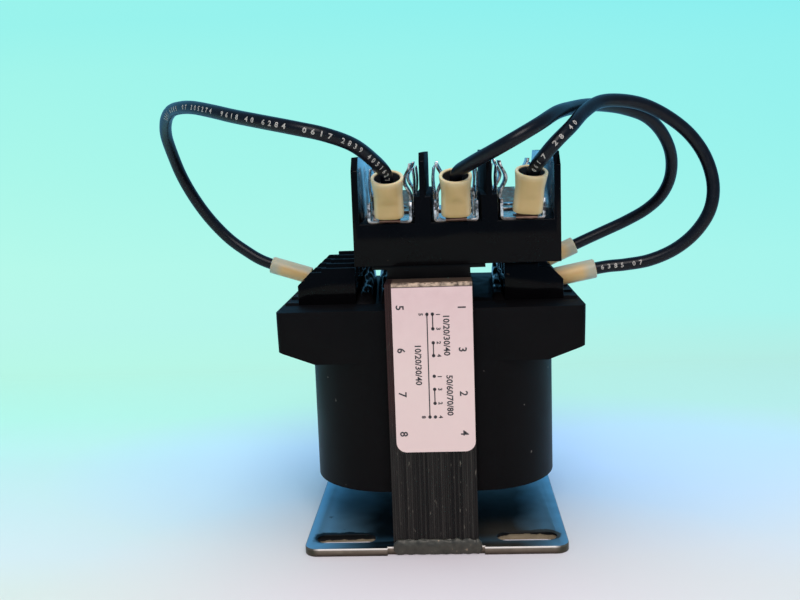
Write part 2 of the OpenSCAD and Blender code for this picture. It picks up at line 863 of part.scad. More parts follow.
// Turns a piece drawn along +Z to lie along a tab, at a distance from the tab's root
module on_tab(i, s) {
    translate(tab_point(i, s))
        rotate([0, tab_side(i), 0])
            rotate([tab_tilt(i), 0, 0])
                children();
}

// Section of a clip's base with its side lips bent up, drawn from its underside
module lip_section(w, h, r) {
    translate([-w / 2, r])
        square([w, h - r]);
    translate([-w / 2 + r, 0])
        square([w - 2 * r, h]);
    for (x = [-1, 1])
        translate([x * (w / 2 - r), r])
            circle(r);
}

module clip(e, i) {
    color("#c9cdd0")
        at_end(e)
            difference() {
                union() {
                    if (e == "front")
                        on_tab(i, 0)
                            tab_blade();
                    else
                        translate([pole_x(i), tab_root.y, tab_root.z])
                            rotate([rear_tab_lean, 0, 0])
                                tab_blade();
                    translate([pole_x(i), 0, 0])
                        clip_body();
                }
                translate([pole_x(i), clip_y0 + rivet_inset, holder_floor - cut])
                    cylinder(d = rivet_d + 2 * clear, h = clip_t + 2 * cut);
                block_xyz(
                    [pole_x(i) - clip_w, clip_y0 - tab_l, holder_floor - tab_l],
                    [pole_x(i) + clip_w, clip_y1, holder_floor]
                );
            }
}

module clip_body() {
    lip_end = clip_y0 + lip_l;
    flat_half = clip_w / 2 - lip_bend_r;
    along_y(clip_y0, lip_end)
        translate([0, holder_floor])
            difference() {
                lip_section(clip_w, lip_h, lip_bend_r);
                translate([0, clip_t])
                    lip_section(clip_w - 2 * clip_t, lip_h, lip_bend_r - clip_t);
            }
    block_xyz([-flat_half, clip_y0, holder_floor], [flat_half, clip_y1, clip_top]);
    block_xyz([-leaf_outside, lip_end, holder_floor], [leaf_outside, clip_y1, clip_top]);
    for (m = [0, 1])
        mirror([m, 0, 0])
            along_y(leaf_y0, leaf_y1)
                clip_leaf();
}

module clip_spring(e, i) {
    half = spring_half + spring_t / 2;
    color("#9fa6ab")
        at_end(e)
            translate([pole_x(i), 0, 0]) {
                block_xyz(
                    [-half, spring_y0, holder_floor - spring_t],
                    [half, spring_y1, holder_floor]
                );
                for (m = [0, 1])
                    mirror([m, 0, 0])
                        along_y(spring_y0, spring_y1)
                            spring_leaf();
            }
}

module clip_rivets() {
    color("#b8bbbd")
        for (e = ends, i = poles)
            at_end(e)
                translate([pole_x(i), clip_y0 + rivet_inset, clip_top]) {
                    cylinder(d = rivet_head_d, h = rivet_head_h);
                    translate([0, 0, -holder_base_h / 2])
                        cylinder(d = rivet_d, h = holder_base_h / 2 + rivet_head_h / 2);
                }
}

// Tab connectors

module tab_receptacle(i) {
    gap = 2 * connector_gap;
    color("#c2b48a")
        on_tab(i, sleeve_start + receptacle_inset) {
            difference() {
                translate([-receptacle_w / 2, -receptacle_t / 2, 0])
                    cube([receptacle_w, receptacle_t, receptacle_l]);
                translate([-(tab_w + gap) / 2, -(clip_t + gap) / 2, -cut])
                    cube([tab_w + gap, clip_t + gap, tab_l - sleeve_start + cut]);
            }
            translate([0, 0, receptacle_l])
                cylinder(d = barrel_d, h = barrel_l);
        }
}

module tab_sleeve(i) {
    gap = 2 * connector_gap;
    body_l = receptacle_inset + receptacle_l;
    barrel_z = body_l + barrel_l;
    bore = barrel_d / 2 + connector_gap;
    color("#d3bd8c")
        on_tab(i, sleeve_start)
            difference() {
                rotate_extrude()
                    polygon([
                        [0, 0], [sleeve_d / 2, 0], [sleeve_waist_d / 2, body_l],
                        [sleeve_rim_d / 2, sleeve_l - sleeve_rim_h], [sleeve_rim_d / 2, sleeve_l],
                        [0, sleeve_l],
                    ]);
                rotate_extrude()
                    polygon([
                        [0, body_l - cut], [bore, body_l - cut], [bore, barrel_z],
                        [sleeve_mouth_d / 2, sleeve_l], [sleeve_mouth_d / 2, sleeve_l + cut],
                        [0, sleeve_l + cut],
                    ]);
                translate([-(receptacle_w + gap) / 2, -(receptacle_t + gap) / 2, -cut])
                    cube([receptacle_w + gap, receptacle_t + gap, body_l + connector_gap + cut]);
                for (y = [-1, 1])
                    translate([-sleeve_d, y * (sleeve_flat / 2 + sleeve_d / 2) - sleeve_d / 2, -cut])
                        cube([2 * sleeve_d, sleeve_d, body_l + cut - 1]);
            }
}

// Ring terminals

// Turns a piece drawn along +Z to lie along a ring terminal's barrel
module on_barrel(i, s) {
    translate(ring_point(i, s))
        rotate([0, ring_side[i - 1] * (90 - ring_tilt[i - 1]), 0])
            children();
}

// Side view of a ring terminal's neck: flat under the washer, then bent up to the barrel
module neck_profile(inner) {
    bend = [ring_bend_x, contact_top + ring_t / 2];
    rise = inner - bend;
    a = atan2(rise.y, rise.x);
    half = ring_t / 2;
    mitre = half * [-tan(a / 2), 1];
    square_end = half * [-sin(a), cos(a)];
    tip = inner + half * [cos(a), sin(a)];
    polygon([
        [screw_x, contact_top], [screw_x, contact_top + ring_t],
        bend + mitre, tip + square_end, tip - square_end, bend - mitre,
    ]);
}

module ring_terminal(i) {
    y = terminal_y(ring_number[i - 1]);
    color("#c2b48a") {
        on_barrel(i, 0)
            cylinder(d = barrel_d, h = ring_barrel_l);
        mirror([ring_side[i - 1] < 0 ? 1 : 0, 0, 0])
            difference() {
                union() {
                    translate([screw_x, y, contact_top])
                        cylinder(d = ring_d, h = ring_t);
                    along_y(y - neck_w / 2, y + neck_w / 2)
                        neck_profile(ring_inner(i));
                }
                translate([screw_x, y, contact_top - cut])
                    cylinder(d = screw_d + 2 * clear, h = ring_t + 2 * cut);
            }
    }
}

module ring_sleeve(i) {
    bore = barrel_d / 2 + connector_gap;
    wall_end = ring_sleeve_d / 2;
    color("#d3bd8c")
        on_barrel(i, ring_sleeve_inset)
            rotate_extrude()
                polygon([
                    [bore, 0], [wall_end - sleeve_bevel, 0], [wall_end, sleeve_bevel],
                    [wall_end, ring_sleeve_l - sleeve_bevel], [wall_end - sleeve_bevel, ring_sleeve_l],
                    [bore, ring_sleeve_l],
                ]);
}

// Leads

// Ring directions carried along the route without twist
function carried(u, t) = unit(u - (u * t) * t);
function ring_axes(tangents, u, k = 0) =
    k == len(tangents) ? [] :
    let (v = carried(u, tangents[k]))
    concat([v], ring_axes(tangents, v, k + 1));

module tube(points, dir0, dir1, d) {
    n = len(points);
    tangents = [
        for (k = [0:n - 1])
            k == 0 ? dir0 : k == n - 1 ? dir1 : unit(points[k + 1] - points[k - 1])
    ];
    axes = ring_axes(tangents, [1, 0.3, 0.2]);
    corners = [
        for (k = [0:n - 1]) for (j = [0:lead_sides - 1])
            let (a = 360 * j / lead_sides)
            points[k] + d / 2 * (cos(a) * axes[k] + sin(a) * cross(tangents[k], axes[k]))
    ];
    walls = [
        for (k = [0:n - 2]) for (j = [0:lead_sides - 1])
            let (a = k * lead_sides + j, b = k * lead_sides + (j + 1) % lead_sides)
            [a, a + lead_sides, b + lead_sides, b]
    ];
    first = [for (j = [0:lead_sides - 1]) j];
    last = [for (j = [lead_sides - 1:-1:0]) (n - 1) * lead_sides + j];
    polyhedron(corners, concat([first], walls, [last]), convexity = 10);
}

module lead(i) {
    start = tab_point(i, barrel_end);
    stop = ring_point(i, ring_barrel_l);
    route = lead_routes[i - 1];
    n = len(route);
    points = [
        for (k = [0:n - 1])
            let (share = k / (n - 1))
            route[k] + (1 - share) * (start - lead_starts[i - 1]) + share * (stop - lead_stops[i - 1])
    ];
    color("#1c1c1f")
        tube(concat([start], points, [stop]), tab_dir(i), -ring_dir(i), lead_d);
}

// Label, folded over the front top edge of the core

module label() {
    front = -core_l / 2;
    color("#e6d6cf")
        translate([label_offset, 0, 0]) {
            along_y(front - label_t, front)
                intersection() {
                    translate([0, core_top + label_t - label_h])
                        rounded_rect(label_w, 2 * label_h, label_corner_r + label_t);
                    translate([-label_w / 2, core_top - label_h])
                        square([label_w, label_h + label_t]);
                }
            block_xyz(
                [-label_w / 2, front - label_t, core_top],
                [label_w / 2, front + label_fold, core_top + label_t]
            );
        }
}

mounting_plate();
weld_bead();  // weld_bead_front
at_end("rear") weld_bead();  // weld_bead_rear
e_core();
i_core();
coil_former();
secondary_winding();
winding_insulation();
primary_winding();
coil_case();
fuse_block_bracket();
fuse_block();
fuse_block_screws();
clip_rivets();
label();

for (s = sides) {
    terminal_block(s);
    clamp_washers(s);
    terminal_screws(s);
    for (i = [1:terminal_count])
        terminal_plate(s, i);
}

for (i = poles) {
    for (e = ends) {
        clip(e, i);
        clip_spring(e, i);
    }
    tab_receptacle(i);
    tab_sleeve(i);
    ring_terminal(i);
    ring_sleeve(i);
    lead(i);
}
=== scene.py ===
# %% [markdown]
# # A control transformer with a fuse block and jumper leads
# A small control transformer is a stack of thin steel sheets with a coil cast into a black case. It stands on a
# slotted steel foot, carries screw terminals on both sides, and here a three-pole fuse block on top. The packed
# model already has every piece at its real size, so this lesson only dresses it: soft edges, separate steel
# sheets, real screw heads, a printed label and the finishes.

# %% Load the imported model
import math

import bmesh
import bpy
from mathutils import Matrix, Vector, noise


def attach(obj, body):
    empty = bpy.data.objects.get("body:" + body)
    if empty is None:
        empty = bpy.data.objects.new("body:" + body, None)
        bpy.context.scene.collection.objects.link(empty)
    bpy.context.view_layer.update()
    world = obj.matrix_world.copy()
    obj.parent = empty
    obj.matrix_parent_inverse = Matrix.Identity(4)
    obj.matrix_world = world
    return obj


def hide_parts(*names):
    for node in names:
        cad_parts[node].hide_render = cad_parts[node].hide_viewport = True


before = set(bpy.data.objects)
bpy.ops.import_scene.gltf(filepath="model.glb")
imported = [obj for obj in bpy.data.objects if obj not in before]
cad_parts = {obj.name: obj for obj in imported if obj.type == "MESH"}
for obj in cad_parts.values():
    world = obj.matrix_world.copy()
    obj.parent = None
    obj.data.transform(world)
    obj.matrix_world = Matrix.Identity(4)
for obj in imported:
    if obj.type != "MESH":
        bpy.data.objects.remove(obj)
scene = bpy.context.scene
scene.view_settings.view_transform = "Standard"
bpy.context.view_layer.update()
MM = 0.001


def in_mm(*corners):
    """Coordinates in millimetres, rounded for printing."""
    return [round(c / MM, 1) for corner in corners for c in corner]


# %% [markdown]
# ## The camera
# The photograph was taken from close by, a little above the fuse block and tilted a little down. A camera can be
# aimed with a constraint, but here its three axes are known, so they are written straight into its matrix.

# %% Place the camera
def linked(name, data):
    """A new object in the scene."""
    made = bpy.data.objects.new(name, data)
    scene.collection.objects.link(made)
    return made


YAW, PITCH, ROLL = (math.radians(a) for a in (-2.959, 8.969, -2.019))
eye = Vector((5.79, -318.84, 120.09)) * MM
ahead = Vector((math.sin(YAW) * math.cos(PITCH), math.cos(YAW) * math.cos(PITCH), -math.sin(PITCH)))
level = Vector((math.cos(YAW), -math.sin(YAW), 0))
upright = level.cross(ahead)
right = level * math.cos(ROLL) + upright * math.sin(ROLL)
up = -level * math.sin(ROLL) + upright * math.cos(ROLL)
camera = linked("camera", bpy.data.cameras.new("camera"))
camera.data.sensor_width = 36
camera.data.lens = 43.094
camera.data.clip_start = 0.01
camera.matrix_world = Matrix.Translation(eye) @ Matrix((right, up, -ahead)).transposed().to_4x4()
scene.camera = camera
print("camera at, mm:", in_mm(eye))

# %% [markdown]
# ## Finishes are small node trees
# Every finish here is procedural, so it holds up at any distance. One helper turns an sRGB hex value into the linear
# colour that Blender works in, one feeds a node's inputs, one adds a node and one starts a finish.

# %% Helpers for finishes
def srgb(code):
    """Linear colour with alpha, from an sRGB hex value."""
    parts = [int(code[i:i + 2], 16) / 255 for i in (1, 3, 5)]
    return [c / 12.92 if c <= 0.04045 else ((c + 0.055) / 1.055) ** 2.4 for c in parts] + [1]


def feed(made, inputs):
    """Gives inputs a value, a hex colour, or a link from a socket or from a node's first live output."""
    for key, value in inputs.items():
        if isinstance(value, bpy.types.Node):
            value = next(out for out in value.outputs if out.enabled)
        if isinstance(value, bpy.types.NodeSocket):
            made.id_data.links.new(value, made.inputs[key])
        else:
            made.inputs[key].default_value = srgb(value) if str(value).startswith("#") else value
    return made


def add(tree, kind, inputs=None, **settings):
    """Adds a node with its settings and inputs; a shader node's kind is given without its prefix."""
    made = tree.nodes.new(kind if "Node" in kind else "ShaderNode" + kind)
    for key, value in settings.items():
        setattr(made, key, value)
    return feed(made, inputs or {})


def new_finish(name, **sockets):
    """A material with its tree, its Principled shader with these sockets set, and the object's coordinates."""
    made = bpy.data.materials.new(name)
    made.use_nodes = True
    shader = made.node_tree.nodes["Principled BSDF"]
    feed(shader, {key.replace("_", " "): value for key, value in sockets.items()})
    return made, made.node_tree, shader, add(made.node_tree, "TexCoord").outputs["Object"]


def per_mm(size):
    """Noise scale for a pattern of this size, in millimetres."""
    return 1 / (size * MM)


print("noise scale for 1 mm:", per_mm(1))

# %% [markdown]
# ## Black lead insulation and tan connector sleeves
# The leads are stranded wire in extruded black PVC: smooth, slightly glossy, and scuffed in places. The sleeves on
# their connectors are moulded nylon, a translucent tan. Light gets a little way into nylon, so it has some
# subsurface scattering, and it looks more orange where brass lies right under it. Two attributes on the mesh say
# where that is, and a third where the bore is, which is painted dark as painted shade in the deep cavity.

# %% Finishes of the leads
def mottled(name, size, detail, dark, bright, rough=None, **sockets):
    """A finish of two tones in patches of this size, which can differ in roughness too; gives its patches and shade."""
    made, tree, shader, where = new_finish(name, **sockets)
    patches = add(tree, "TexNoise", {"Vector": where, "Scale": per_mm(size), "Detail": detail})
    shade = add(tree, "Mix", {0: patches, 6: dark, 7: bright}, data_type="RGBA")
    feed(shader, {"Base Color": shade})
    if rough:
        feed(shader, {
            "Roughness": add(tree, "MapRange", {"Value": patches, "To Min": rough[0], "To Max": rough[1]})})
    return made, tree, shader, where, patches, shade


# Extruded PVC gives long soft highlights; the ink on it is dull and worn thin in places.
pvc = mottled("black_pvc_extruded", 2.5, 4.0, "#05070b", "#10121a", (0.22, 0.42), Specular_IOR_Level=0.22)[0]
ink = mottled("white_lead_ink", 0.9, 2.0, "#5f5c57", "#d2ccc2", Roughness=0.6)[0]
print("finishes:", pvc.name, ink.name)

# %% Finish of the sleeves
NYLON = {"tan_nylon_flat_sleeve": ("#cbbd94", "#e2d8b6", "#ba9c62", "#cdb079"),
         "tan_nylon_round_sleeve": ("#a19f87", "#b7b39b", "#c39c5c", "#d6b982")}
nylons = []
for name, (grey, pale, deep, gold) in NYLON.items():
    finish, tree, shader, _, cloud, clear = mottled(
        name, 5, 3.0, grey, pale, IOR=1.53, Roughness=0.42, Subsurface_Weight=0.35, Subsurface_Scale=0.0015,
        Subsurface_Radius=(1.0, 0.6, 0.3))
    along, aside, inside = (add(tree, "Attribute", attribute_name=n).outputs["Fac"]
                            for n in ("along_metal", "beside_metal", "inside"))
    begins = add(tree, "MapRange", {"Value": along, "From Min": 0.0, "From Max": 0.12})
    ends = add(tree, "MapRange", {"Value": along, "From Min": 1.0, "From Max": 0.8})
    off_axis = add(tree, "Math", {0: aside}, operation="ABSOLUTE")
    middle = add(tree, "MapRange", {"Value": off_axis, "From Min": 1.0, "From Max": 0.55})
    metal = add(tree, "Math", {0: begins, 1: ends}, operation="MULTIPLY")
    metal = add(tree, "Math", {0: metal, 1: middle}, operation="MULTIPLY")
    warm = add(tree, "Mix", {0: cloud, 6: deep, 7: gold}, data_type="RGBA")
    shade = add(tree, "Mix", {0: metal, 6: clear, 7: warm}, data_type="RGBA")
    # Where the attribute is set, the bore is painted dark: painted shade in the deep cavity.
    bore = add(tree, "Mix", {0: inside, 6: shade, 7: "#14110d"}, data_type="RGBA")
    feed(shader, {"Base Color": bore})
    nylons.append(finish)
print("finishes:", *NYLON)

# %% [markdown]
# ## Soft edges on a copy of a CAD solid
# A solid from CAD has knife edges, and real moulded or stamped edges catch a thin line of light. The copy's loose
# triangles are merged, flat neighbours are joined, and a Bevel modifier rounds what is left. A plain copy with
# smooth shading would be quicker, but it would show no light along the edges.

# %% Helpers for pieces
def keep_piece(piece, slot_name, *nodes):
    """Rides on the one body and stands for these CAD nodes; slot_name is not used."""
    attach(piece, "root")
    if nodes:
        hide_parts(*nodes)
    return piece


def new_piece(name, mesh, finish):
    piece = linked(name, mesh)
    mesh.materials.clear()
    mesh.materials.append(finish)
    return piece


def baked(piece):
    """Turns the modifiers' result into the piece's own plain mesh."""
    evaluated = piece.evaluated_get(bpy.context.evaluated_depsgraph_get())
    mesh = bpy.data.meshes.new_from_object(evaluated)
    piece.modifiers.clear()
    piece.data = mesh
    return piece


def shaded(mesh, angle=35):
    mesh.shade_smooth()
    mesh.set_sharp_from_angle(angle=math.radians(angle))


def finished(work, name, angle=None, outward=True):
    """Plain mesh of a bmesh, with its normals outward, smooth across edges below this angle."""
    if outward:
        bmesh.ops.recalc_face_normals(work, faces=work.faces)
    mesh = bpy.data.meshes.new(name)
    work.to_mesh(mesh)
    work.free()
    if angle:
        shaded(mesh, angle)
    return mesh


# %% Helpers for soft edges
def bevelled(piece, width, segments=2, turns=35):
    """Rounds edges that turn by more than this angle, to a width in millimetres, and bakes the result."""
    edge = piece.modifiers.new("edge", "BEVEL")
    edge.width = width * MM
    edge.segments = segments
    edge.limit_method = "ANGLE"
    edge.angle_limit = math.radians(turns)
    shaded(baked(piece).data)
    return piece


def softened(node_name, finish, slot_name, width, segments=2):
    """A copy of a CAD node's solid with soft edges, which replaces the node."""
    work = bmesh.new()
    work.from_mesh(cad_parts[node_name].data)
    bmesh.ops.remove_doubles(work, verts=work.verts, dist=0.002 * MM)
    bmesh.ops.dissolve_limit(work, angle_limit=math.radians(1), verts=work.verts, edges=work.edges)
    piece = new_piece(node_name + "_soft", finished(work, node_name + "_soft", outward=False), finish)
    return keep_piece(bevelled(piece, width, segments), slot_name, node_name)


print("CAD pieces to dress:", len(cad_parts))

# %% Rings of a flat sleeve
SLEEVE_H, WAIST, WIDENS_OVER, FLAT_UP_TO, ROUNDS_OVER = 12.4, 7.2, 4.7, 4.2, 4
FOOT_HALF, WAIST_HALF, MOUTH_HALF, HALF_DEEP, SQUARE, ROUND = 4.4, 4.2, 4.75, 3.3, 3.2, 2
RING_HEIGHTS = (0, 0.1, 0.35, 1.5, 3, 4.2, 4.9, 5.6, 6.2, 6.8, 7.4, 8.2, 9.5, 10.7, 11.6, 12.1, 12.32, SLEEVE_H)
SOFT_EDGE = {0: 0.35, 0.1: 0.12, 12.32: 0.07, SLEEVE_H: 0.25}
# The last figure of each mouth ring is its share of the painted shade in the bore.
MOUTH = ((SLEEVE_H, 4.1, 0), (12.32, 3.9, 0), (12.15, 3.78, 0.5), (11.9, 3.7, 1), (10.2, 2.8, 1), (9.4, 2.3, 1))


def flat_sleeve_rings():
    """Rings of a sleeve, flat over its tab and round at its mouth: height, half sizes, squareness, painted shade."""
    rings = []
    for z in RING_HEIGHTS:
        wide = FOOT_HALF + (WAIST_HALF - FOOT_HALF) * z / WAIST
        if z > WAIST:
            wide = min(MOUTH_HALF, WAIST_HALF + (MOUTH_HALF - WAIST_HALF) * (z - WAIST) / WIDENS_OVER)
        share = max(0, min(1, (z - FLAT_UP_TO) / ROUNDS_OVER))
        share = share * share * (3 - 2 * share)
        deep = HALF_DEEP + (wide - HALF_DEEP) * share
        inset = SOFT_EDGE.get(z, 0)
        rings.append((z, wide - inset, deep - inset, SQUARE + (ROUND - SQUARE) * share, 0))
    return rings + [(z, r, r, ROUND, dark) for z, r, dark in MOUTH]


print("rings of a flat sleeve:", len(flat_sleeve_rings()))

# %% Loft the flat sleeves
def skin_rows(work, rows, closed=True, capped=False):
    """Faces between each row of points and the next. Closed rows go round, and caps close the ends."""
    count = len(rows[0])
    for low, high in zip(rows, rows[1:]):
        for k in range(count if closed else count - 1):
            n = (k + 1) % count
            work.faces.new((low[k], low[n], high[n], high[k]))
    if capped:
        work.faces.new(rows[0][::-1])
        work.faces.new(rows[-1])


def round_angles(count):
    return [2 * math.pi * k / count for k in range(count)]


def flat_sleeve_mesh(name, foot, turn):
    work = bmesh.new()
    inside = work.verts.layers.float.new("inside")
    rings = []
    for z, wide, deep, square, dark in flat_sleeve_rings():
        ring = []
        for a in round_angles(48):
            x = wide * math.copysign(abs(math.cos(a)) ** (2 / square), math.cos(a))
            y = deep * math.copysign(abs(math.sin(a)) ** (2 / square), math.sin(a))
            vert = work.verts.new((foot + turn @ Vector((x, y, z))) * MM)
            vert[inside] = dark
            ring.append(vert)
        rings.append(ring)
    skin_rows(work, rings, capped=True)
    return finished(work, name, 60)


def mark_sleeve(piece, start, axis, across, first, last, half, sunk=0):
    """Stores each point's place along the metal in the sleeve, from 0 to 1, and beside it, where sunk lowers it."""
    along = piece.data.attributes.new("along_metal", "FLOAT", "POINT")
    aside = piece.data.attributes.new("beside_metal", "FLOAT", "POINT")
    for k, point in enumerate(piece.data.vertices):
        away = point.co / MM - start
        along.data[k].value = (away.dot(axis) - first) / (last - first)
        aside.data[k].value = away.dot(across) / half + sunk


TAB_X, TAB_LEAN, TAB_SIDE = (-11.0, 8.6, 29.2), (26, 26, 21), (0, 0, 5)
TAB_ROOT_Y, TAB_ROOT_Z, SLEEVE_START = -36, 98.7, 2.6
tab_axis, tab_sleeves = [], []
for i, (x, lean, side) in enumerate(zip(TAB_X, TAB_LEAN, TAB_SIDE)):
    turn = Matrix.Rotation(math.radians(side), 3, "Y") @ Matrix.Rotation(math.radians(lean), 3, "X")
    tab_axis.append(turn @ Vector((0, 0, 1)))
    root = Vector((x, TAB_ROOT_Y, TAB_ROOT_Z))
    name = f"tab_sleeve_{i + 1}"
    piece = new_piece(name + "_lofted", flat_sleeve_mesh(name, root + SLEEVE_START * tab_axis[i], turn), nylons[0])
    mark_sleeve(piece, root, tab_axis[i], turn @ Vector((1, 0, 0)), first=1, last=16.2, half=4.8)
    tab_sleeves.append(keep_piece(piece, "nylon_sleeve", name))

# %% Dress the round sleeves
RING_TILT = [math.radians(a) for a in (17.8, 24, 11)]
RING_SIDE, PUSHED_ON, SUNK = (-1, 1, 1), (1.9, 0, 0), (-0.4, 0.1, 0.1)
ring_end = [Vector(p) for p in ((-44.2, 18.75, 76.7), (38, 18.75, 79.2), (38.5, -18.75, 78.5))]
ring_axis = [Vector((s * math.cos(a), 0, math.sin(a))) for s, a in zip(RING_SIDE, RING_TILT)]
ring_sleeves = [softened(f"ring_sleeve_{i}", nylons[1], "nylon_sleeve", 0.25, 3) for i in (1, 2, 3)]
for i, piece in enumerate(ring_sleeves):
    shaded(piece.data, 60)
    upright_axis = Vector((0, -1, 0)).cross(ring_axis[i])
    inner = min((v.co / MM - ring_end[i]).dot(ring_axis[i]) for v in piece.data.vertices)
    for vert in piece.data.vertices:
        if (vert.co / MM - ring_end[i]).dot(ring_axis[i]) < inner + 1:
            vert.co -= PUSHED_ON[i] * MM * ring_axis[i]
    mark_sleeve(piece, ring_end[i], ring_axis[i], upright_axis, first=-1, last=11.5, half=3, sunk=SUNK[i])
    # Faces that look inward, into the bore, get painted shade.
    layer = piece.data.attributes.new("inside", "FLOAT", "FACE")
    for face, value in zip(piece.data.polygons, layer.data):
        away = face.center / MM - ring_end[i]
        away -= away.dot(ring_axis[i]) * ring_axis[i]
        value.value = 1 if face.normal.dot(away) < -0.2 * away.length else 0
print("sleeves:", len(tab_sleeves) + len(ring_sleeves))

# %% [markdown]
# ## Jumper leads
# Each lead leaves a connector on a fuse clip, loops out over the side and comes back to a screw terminal. It is
# held at both ends and stiff enough to stand in its loop. The route's points are the ones that the CAD solid
# follows. A smooth spline runs through them, and a ring of points is carried along it without twist. A bevelled
# curve would do as well, but a mesh can be the base for the print.

# %% Routes of the leads
LEAD_D, LEAD_SIDES = 3.9, 20
ROUTES = [
    [(-11, -41.26, 109.486), (-11.4, -43.9, 113.3), (-14, -49.5, 117), (-19, -56, 121.5), (-26, -61, 124.5),
     (-34, -61.5, 126.5), (-43, -58, 128.5), (-52, -52, 130.5), (-60, -45, 132.5), (-67, -37.5, 134),
     (-73, -29.5, 134.5), (-78.5, -20.5, 134), (-83, -11, 131.5), (-86, -1.5, 127), (-86.5, 6.5, 120.5),
     (-85.5, 12.5, 113), (-82.5, 16.5, 105), (-78, 18.5, 97.5), (-72, 19.5, 90.5), (-65.5, 19.2, 85.5),
     (-60, 18.9, 82.2), (-52.293, 18.75, 79.298)],
    [(8.6, -41.26, 109.486), (9.3, -43.9, 112.9), (13, -49.5, 115.5), (18.5, -55, 118.5), (25, -57, 122),
     (31.5, -54, 125.5), (37, -46.5, 128.5), (42.5, -36.5, 130), (48.5, -26.5, 131), (55, -17.5, 131),
     (62.5, -10, 130), (70, -5, 127.5), (76, -0.5, 122.5), (80, 4, 115.5), (81, 8.5, 108),
     (79, 12.5, 101.5), (74.5, 16, 96.5), (68, 18.5, 92.5), (61, 19.2, 89.3), (54, 19, 86.3),
     (45.765, 18.75, 82.657)],
    [(30.176, -40.3, 109.86), (31.5, -43.5, 113.9), (33.5, -48, 117), (36.5, -49, 120.5), (41, -46, 124.5),
     (45.5, -39.5, 128.5), (51, -32.5, 131.5), (58, -27, 132), (66, -23, 130.5), (74, -20.5, 126.5),
     (80.5, -20, 121), (85, -20.5, 114), (87, -21.5, 106), (86, -22, 98.5), (82, -21.5, 91.8),
     (76, -20.5, 86.6), (68.5, -19.7, 83.3), (61, -19, 82), (55, -18.8, 81.5), (46.844, -18.75, 80.122)],
]


def smooth_route(points, leaving, arriving, steps=8):
    """Points of a Catmull-Rom spline through the given ones, in millimetres."""
    points = [Vector(p) for p in points]
    first = points[0] - leaving * (points[1] - points[0]).length
    last = points[-1] + arriving * (points[-1] - points[-2]).length
    knots = [first, *points, last]
    route = []
    for a, b, c, d in zip(knots, knots[1:], knots[2:], knots[3:]):
        for t in (k / steps for k in range(steps)):
            route.append(0.5 * (2 * b + (c - a) * t + (2 * a - 5 * b + 4 * c - d) * t * t
                                + (3 * b - a - 3 * c + d) * t * t * t))
    return route + [points[-1]]


routes = [smooth_route(p, tab_axis[i], -ring_axis[i]) for i, p in enumerate(ROUTES)]

# %% Sweep the leads
def tangents_of(route):
    ends = [route[0], *route, route[-1]]
    return [(c - a).normalized() for a, c in zip(ends, ends[2:])]


def lead_mesh(name, route):
    work = bmesh.new()
    side = Vector((1, 0.3, 0.2))
    rings = []
    for point, tangent in zip(route, tangents_of(route)):
        side = (side - side.dot(tangent) * tangent).normalized()
        other = tangent.cross(side)
        rings.append([work.verts.new((point + LEAD_D / 2 * (math.cos(a) * side + math.sin(a) * other)) * MM)
                      for a in round_angles(LEAD_SIDES)])
    skin_rows(work, rings, capped=True)
    return finished(work, name, 50, outward=False)


for i, route in enumerate(routes):
    name = f"jumper_lead_{i + 1}"
    keep_piece(new_piece(name, lead_mesh(name, route), pvc), "lead_insulation", f"lead_{i + 1}")

# %% [markdown]
# ## Print on the leads
# A line of small white figures runs along each lead. Text becomes a flat mesh, is sliced into narrow strips so that
# it can bend, and each of its points is then laid round the lead, on the side that faces the front. The strips
# matter: one flat figure would sink into the round surface.

# %% Figures as a mesh
INK_HEIGHT, INK_LIFT, STRIPS, FONT_PER_FIGURE = 1.4, 0.03, 6, 1.4


def text_mesh(body, height, bold=0.0, spacing=1.0):
    """Flat mesh of a line of figures, in millimetres, starting at the origin."""
    curve = bpy.data.curves.new("figures", "FONT")
    curve.body = body
    curve.size = height * FONT_PER_FIGURE
    curve.offset = bold
    curve.space_character = spacing
    curve.resolution_u = 2
    holder = linked("figures", curve)
    mesh = bpy.data.meshes.new_from_object(holder.evaluated_get(bpy.context.evaluated_depsgraph_get()))
    bpy.data.objects.remove(holder)
    bpy.data.curves.remove(curve)
    return mesh


print("figures on the leads, mm high:", INK_HEIGHT)

# %% Lay the print round the leads
def print_on_lead(name, route, starts, body):
    work = bmesh.new()
    work.from_mesh(text_mesh(body, INK_HEIGHT, bold=0.055, spacing=2.1))
    for k in range(1, STRIPS):
        bmesh.ops.bisect_plane(
            work, geom=work.verts[:] + work.edges[:] + work.faces[:],
            plane_co=(0, INK_HEIGHT * k / STRIPS, 0), plane_no=(0, 1, 0))
    distance = [0.0]
    for a, b in zip(route, route[1:]):
        distance.append(distance[-1] + (b - a).length)
    tangents = tangents_of(route)
    front = [(eye / MM - p).normalized() for p in route]
    middle = min(range(len(route)), key=lambda k: abs(distance[k] - starts))
    faced = front[middle] - front[middle].dot(tangents[middle]) * tangents[middle]
    along = -1 if tangents[middle].cross(faced).z > 0 else 1
    for vert in work.verts:
        s = starts + along * vert.co.x
        k = max(0, min(len(route) - 2, next((j for j, d in enumerate(distance) if d > s), len(route)) - 1))
        share = (s - distance[k]) / (distance[k + 1] - distance[k])
        point = route[k].lerp(route[k + 1], share)
        tangent = tangents[k].lerp(tangents[k + 1], share).normalized()
        out = front[k].lerp(front[k + 1], share)
        out = (out - out.dot(tangent) * tangent).normalized()
        high = -along * tangent.cross(out)
        a = (vert.co.y - INK_HEIGHT / 2) / (LEAD_D / 2)
        vert.co = (point + (LEAD_D / 2 + INK_LIFT) * (math.cos(a) * out + math.sin(a) * high)) * MM
    return keep_piece(new_piece(name, finished(work, name, outward=False), ink), "lead_insulation")


prints = [
    [print_on_lead("lead_figures_1", routes[0], 106, "2041 6385  07 305274  9618 40 6284  0617 2839 40516273 84")],
    [],
    [print_on_lead("lead_figures_2", routes[2], 141, "6385 07"),
     print_on_lead("lead_figures_3", routes[2], 5, "0617 28 40")],
]
print("print faces:", [len(p.data.polygons) for group in prints for p in group])

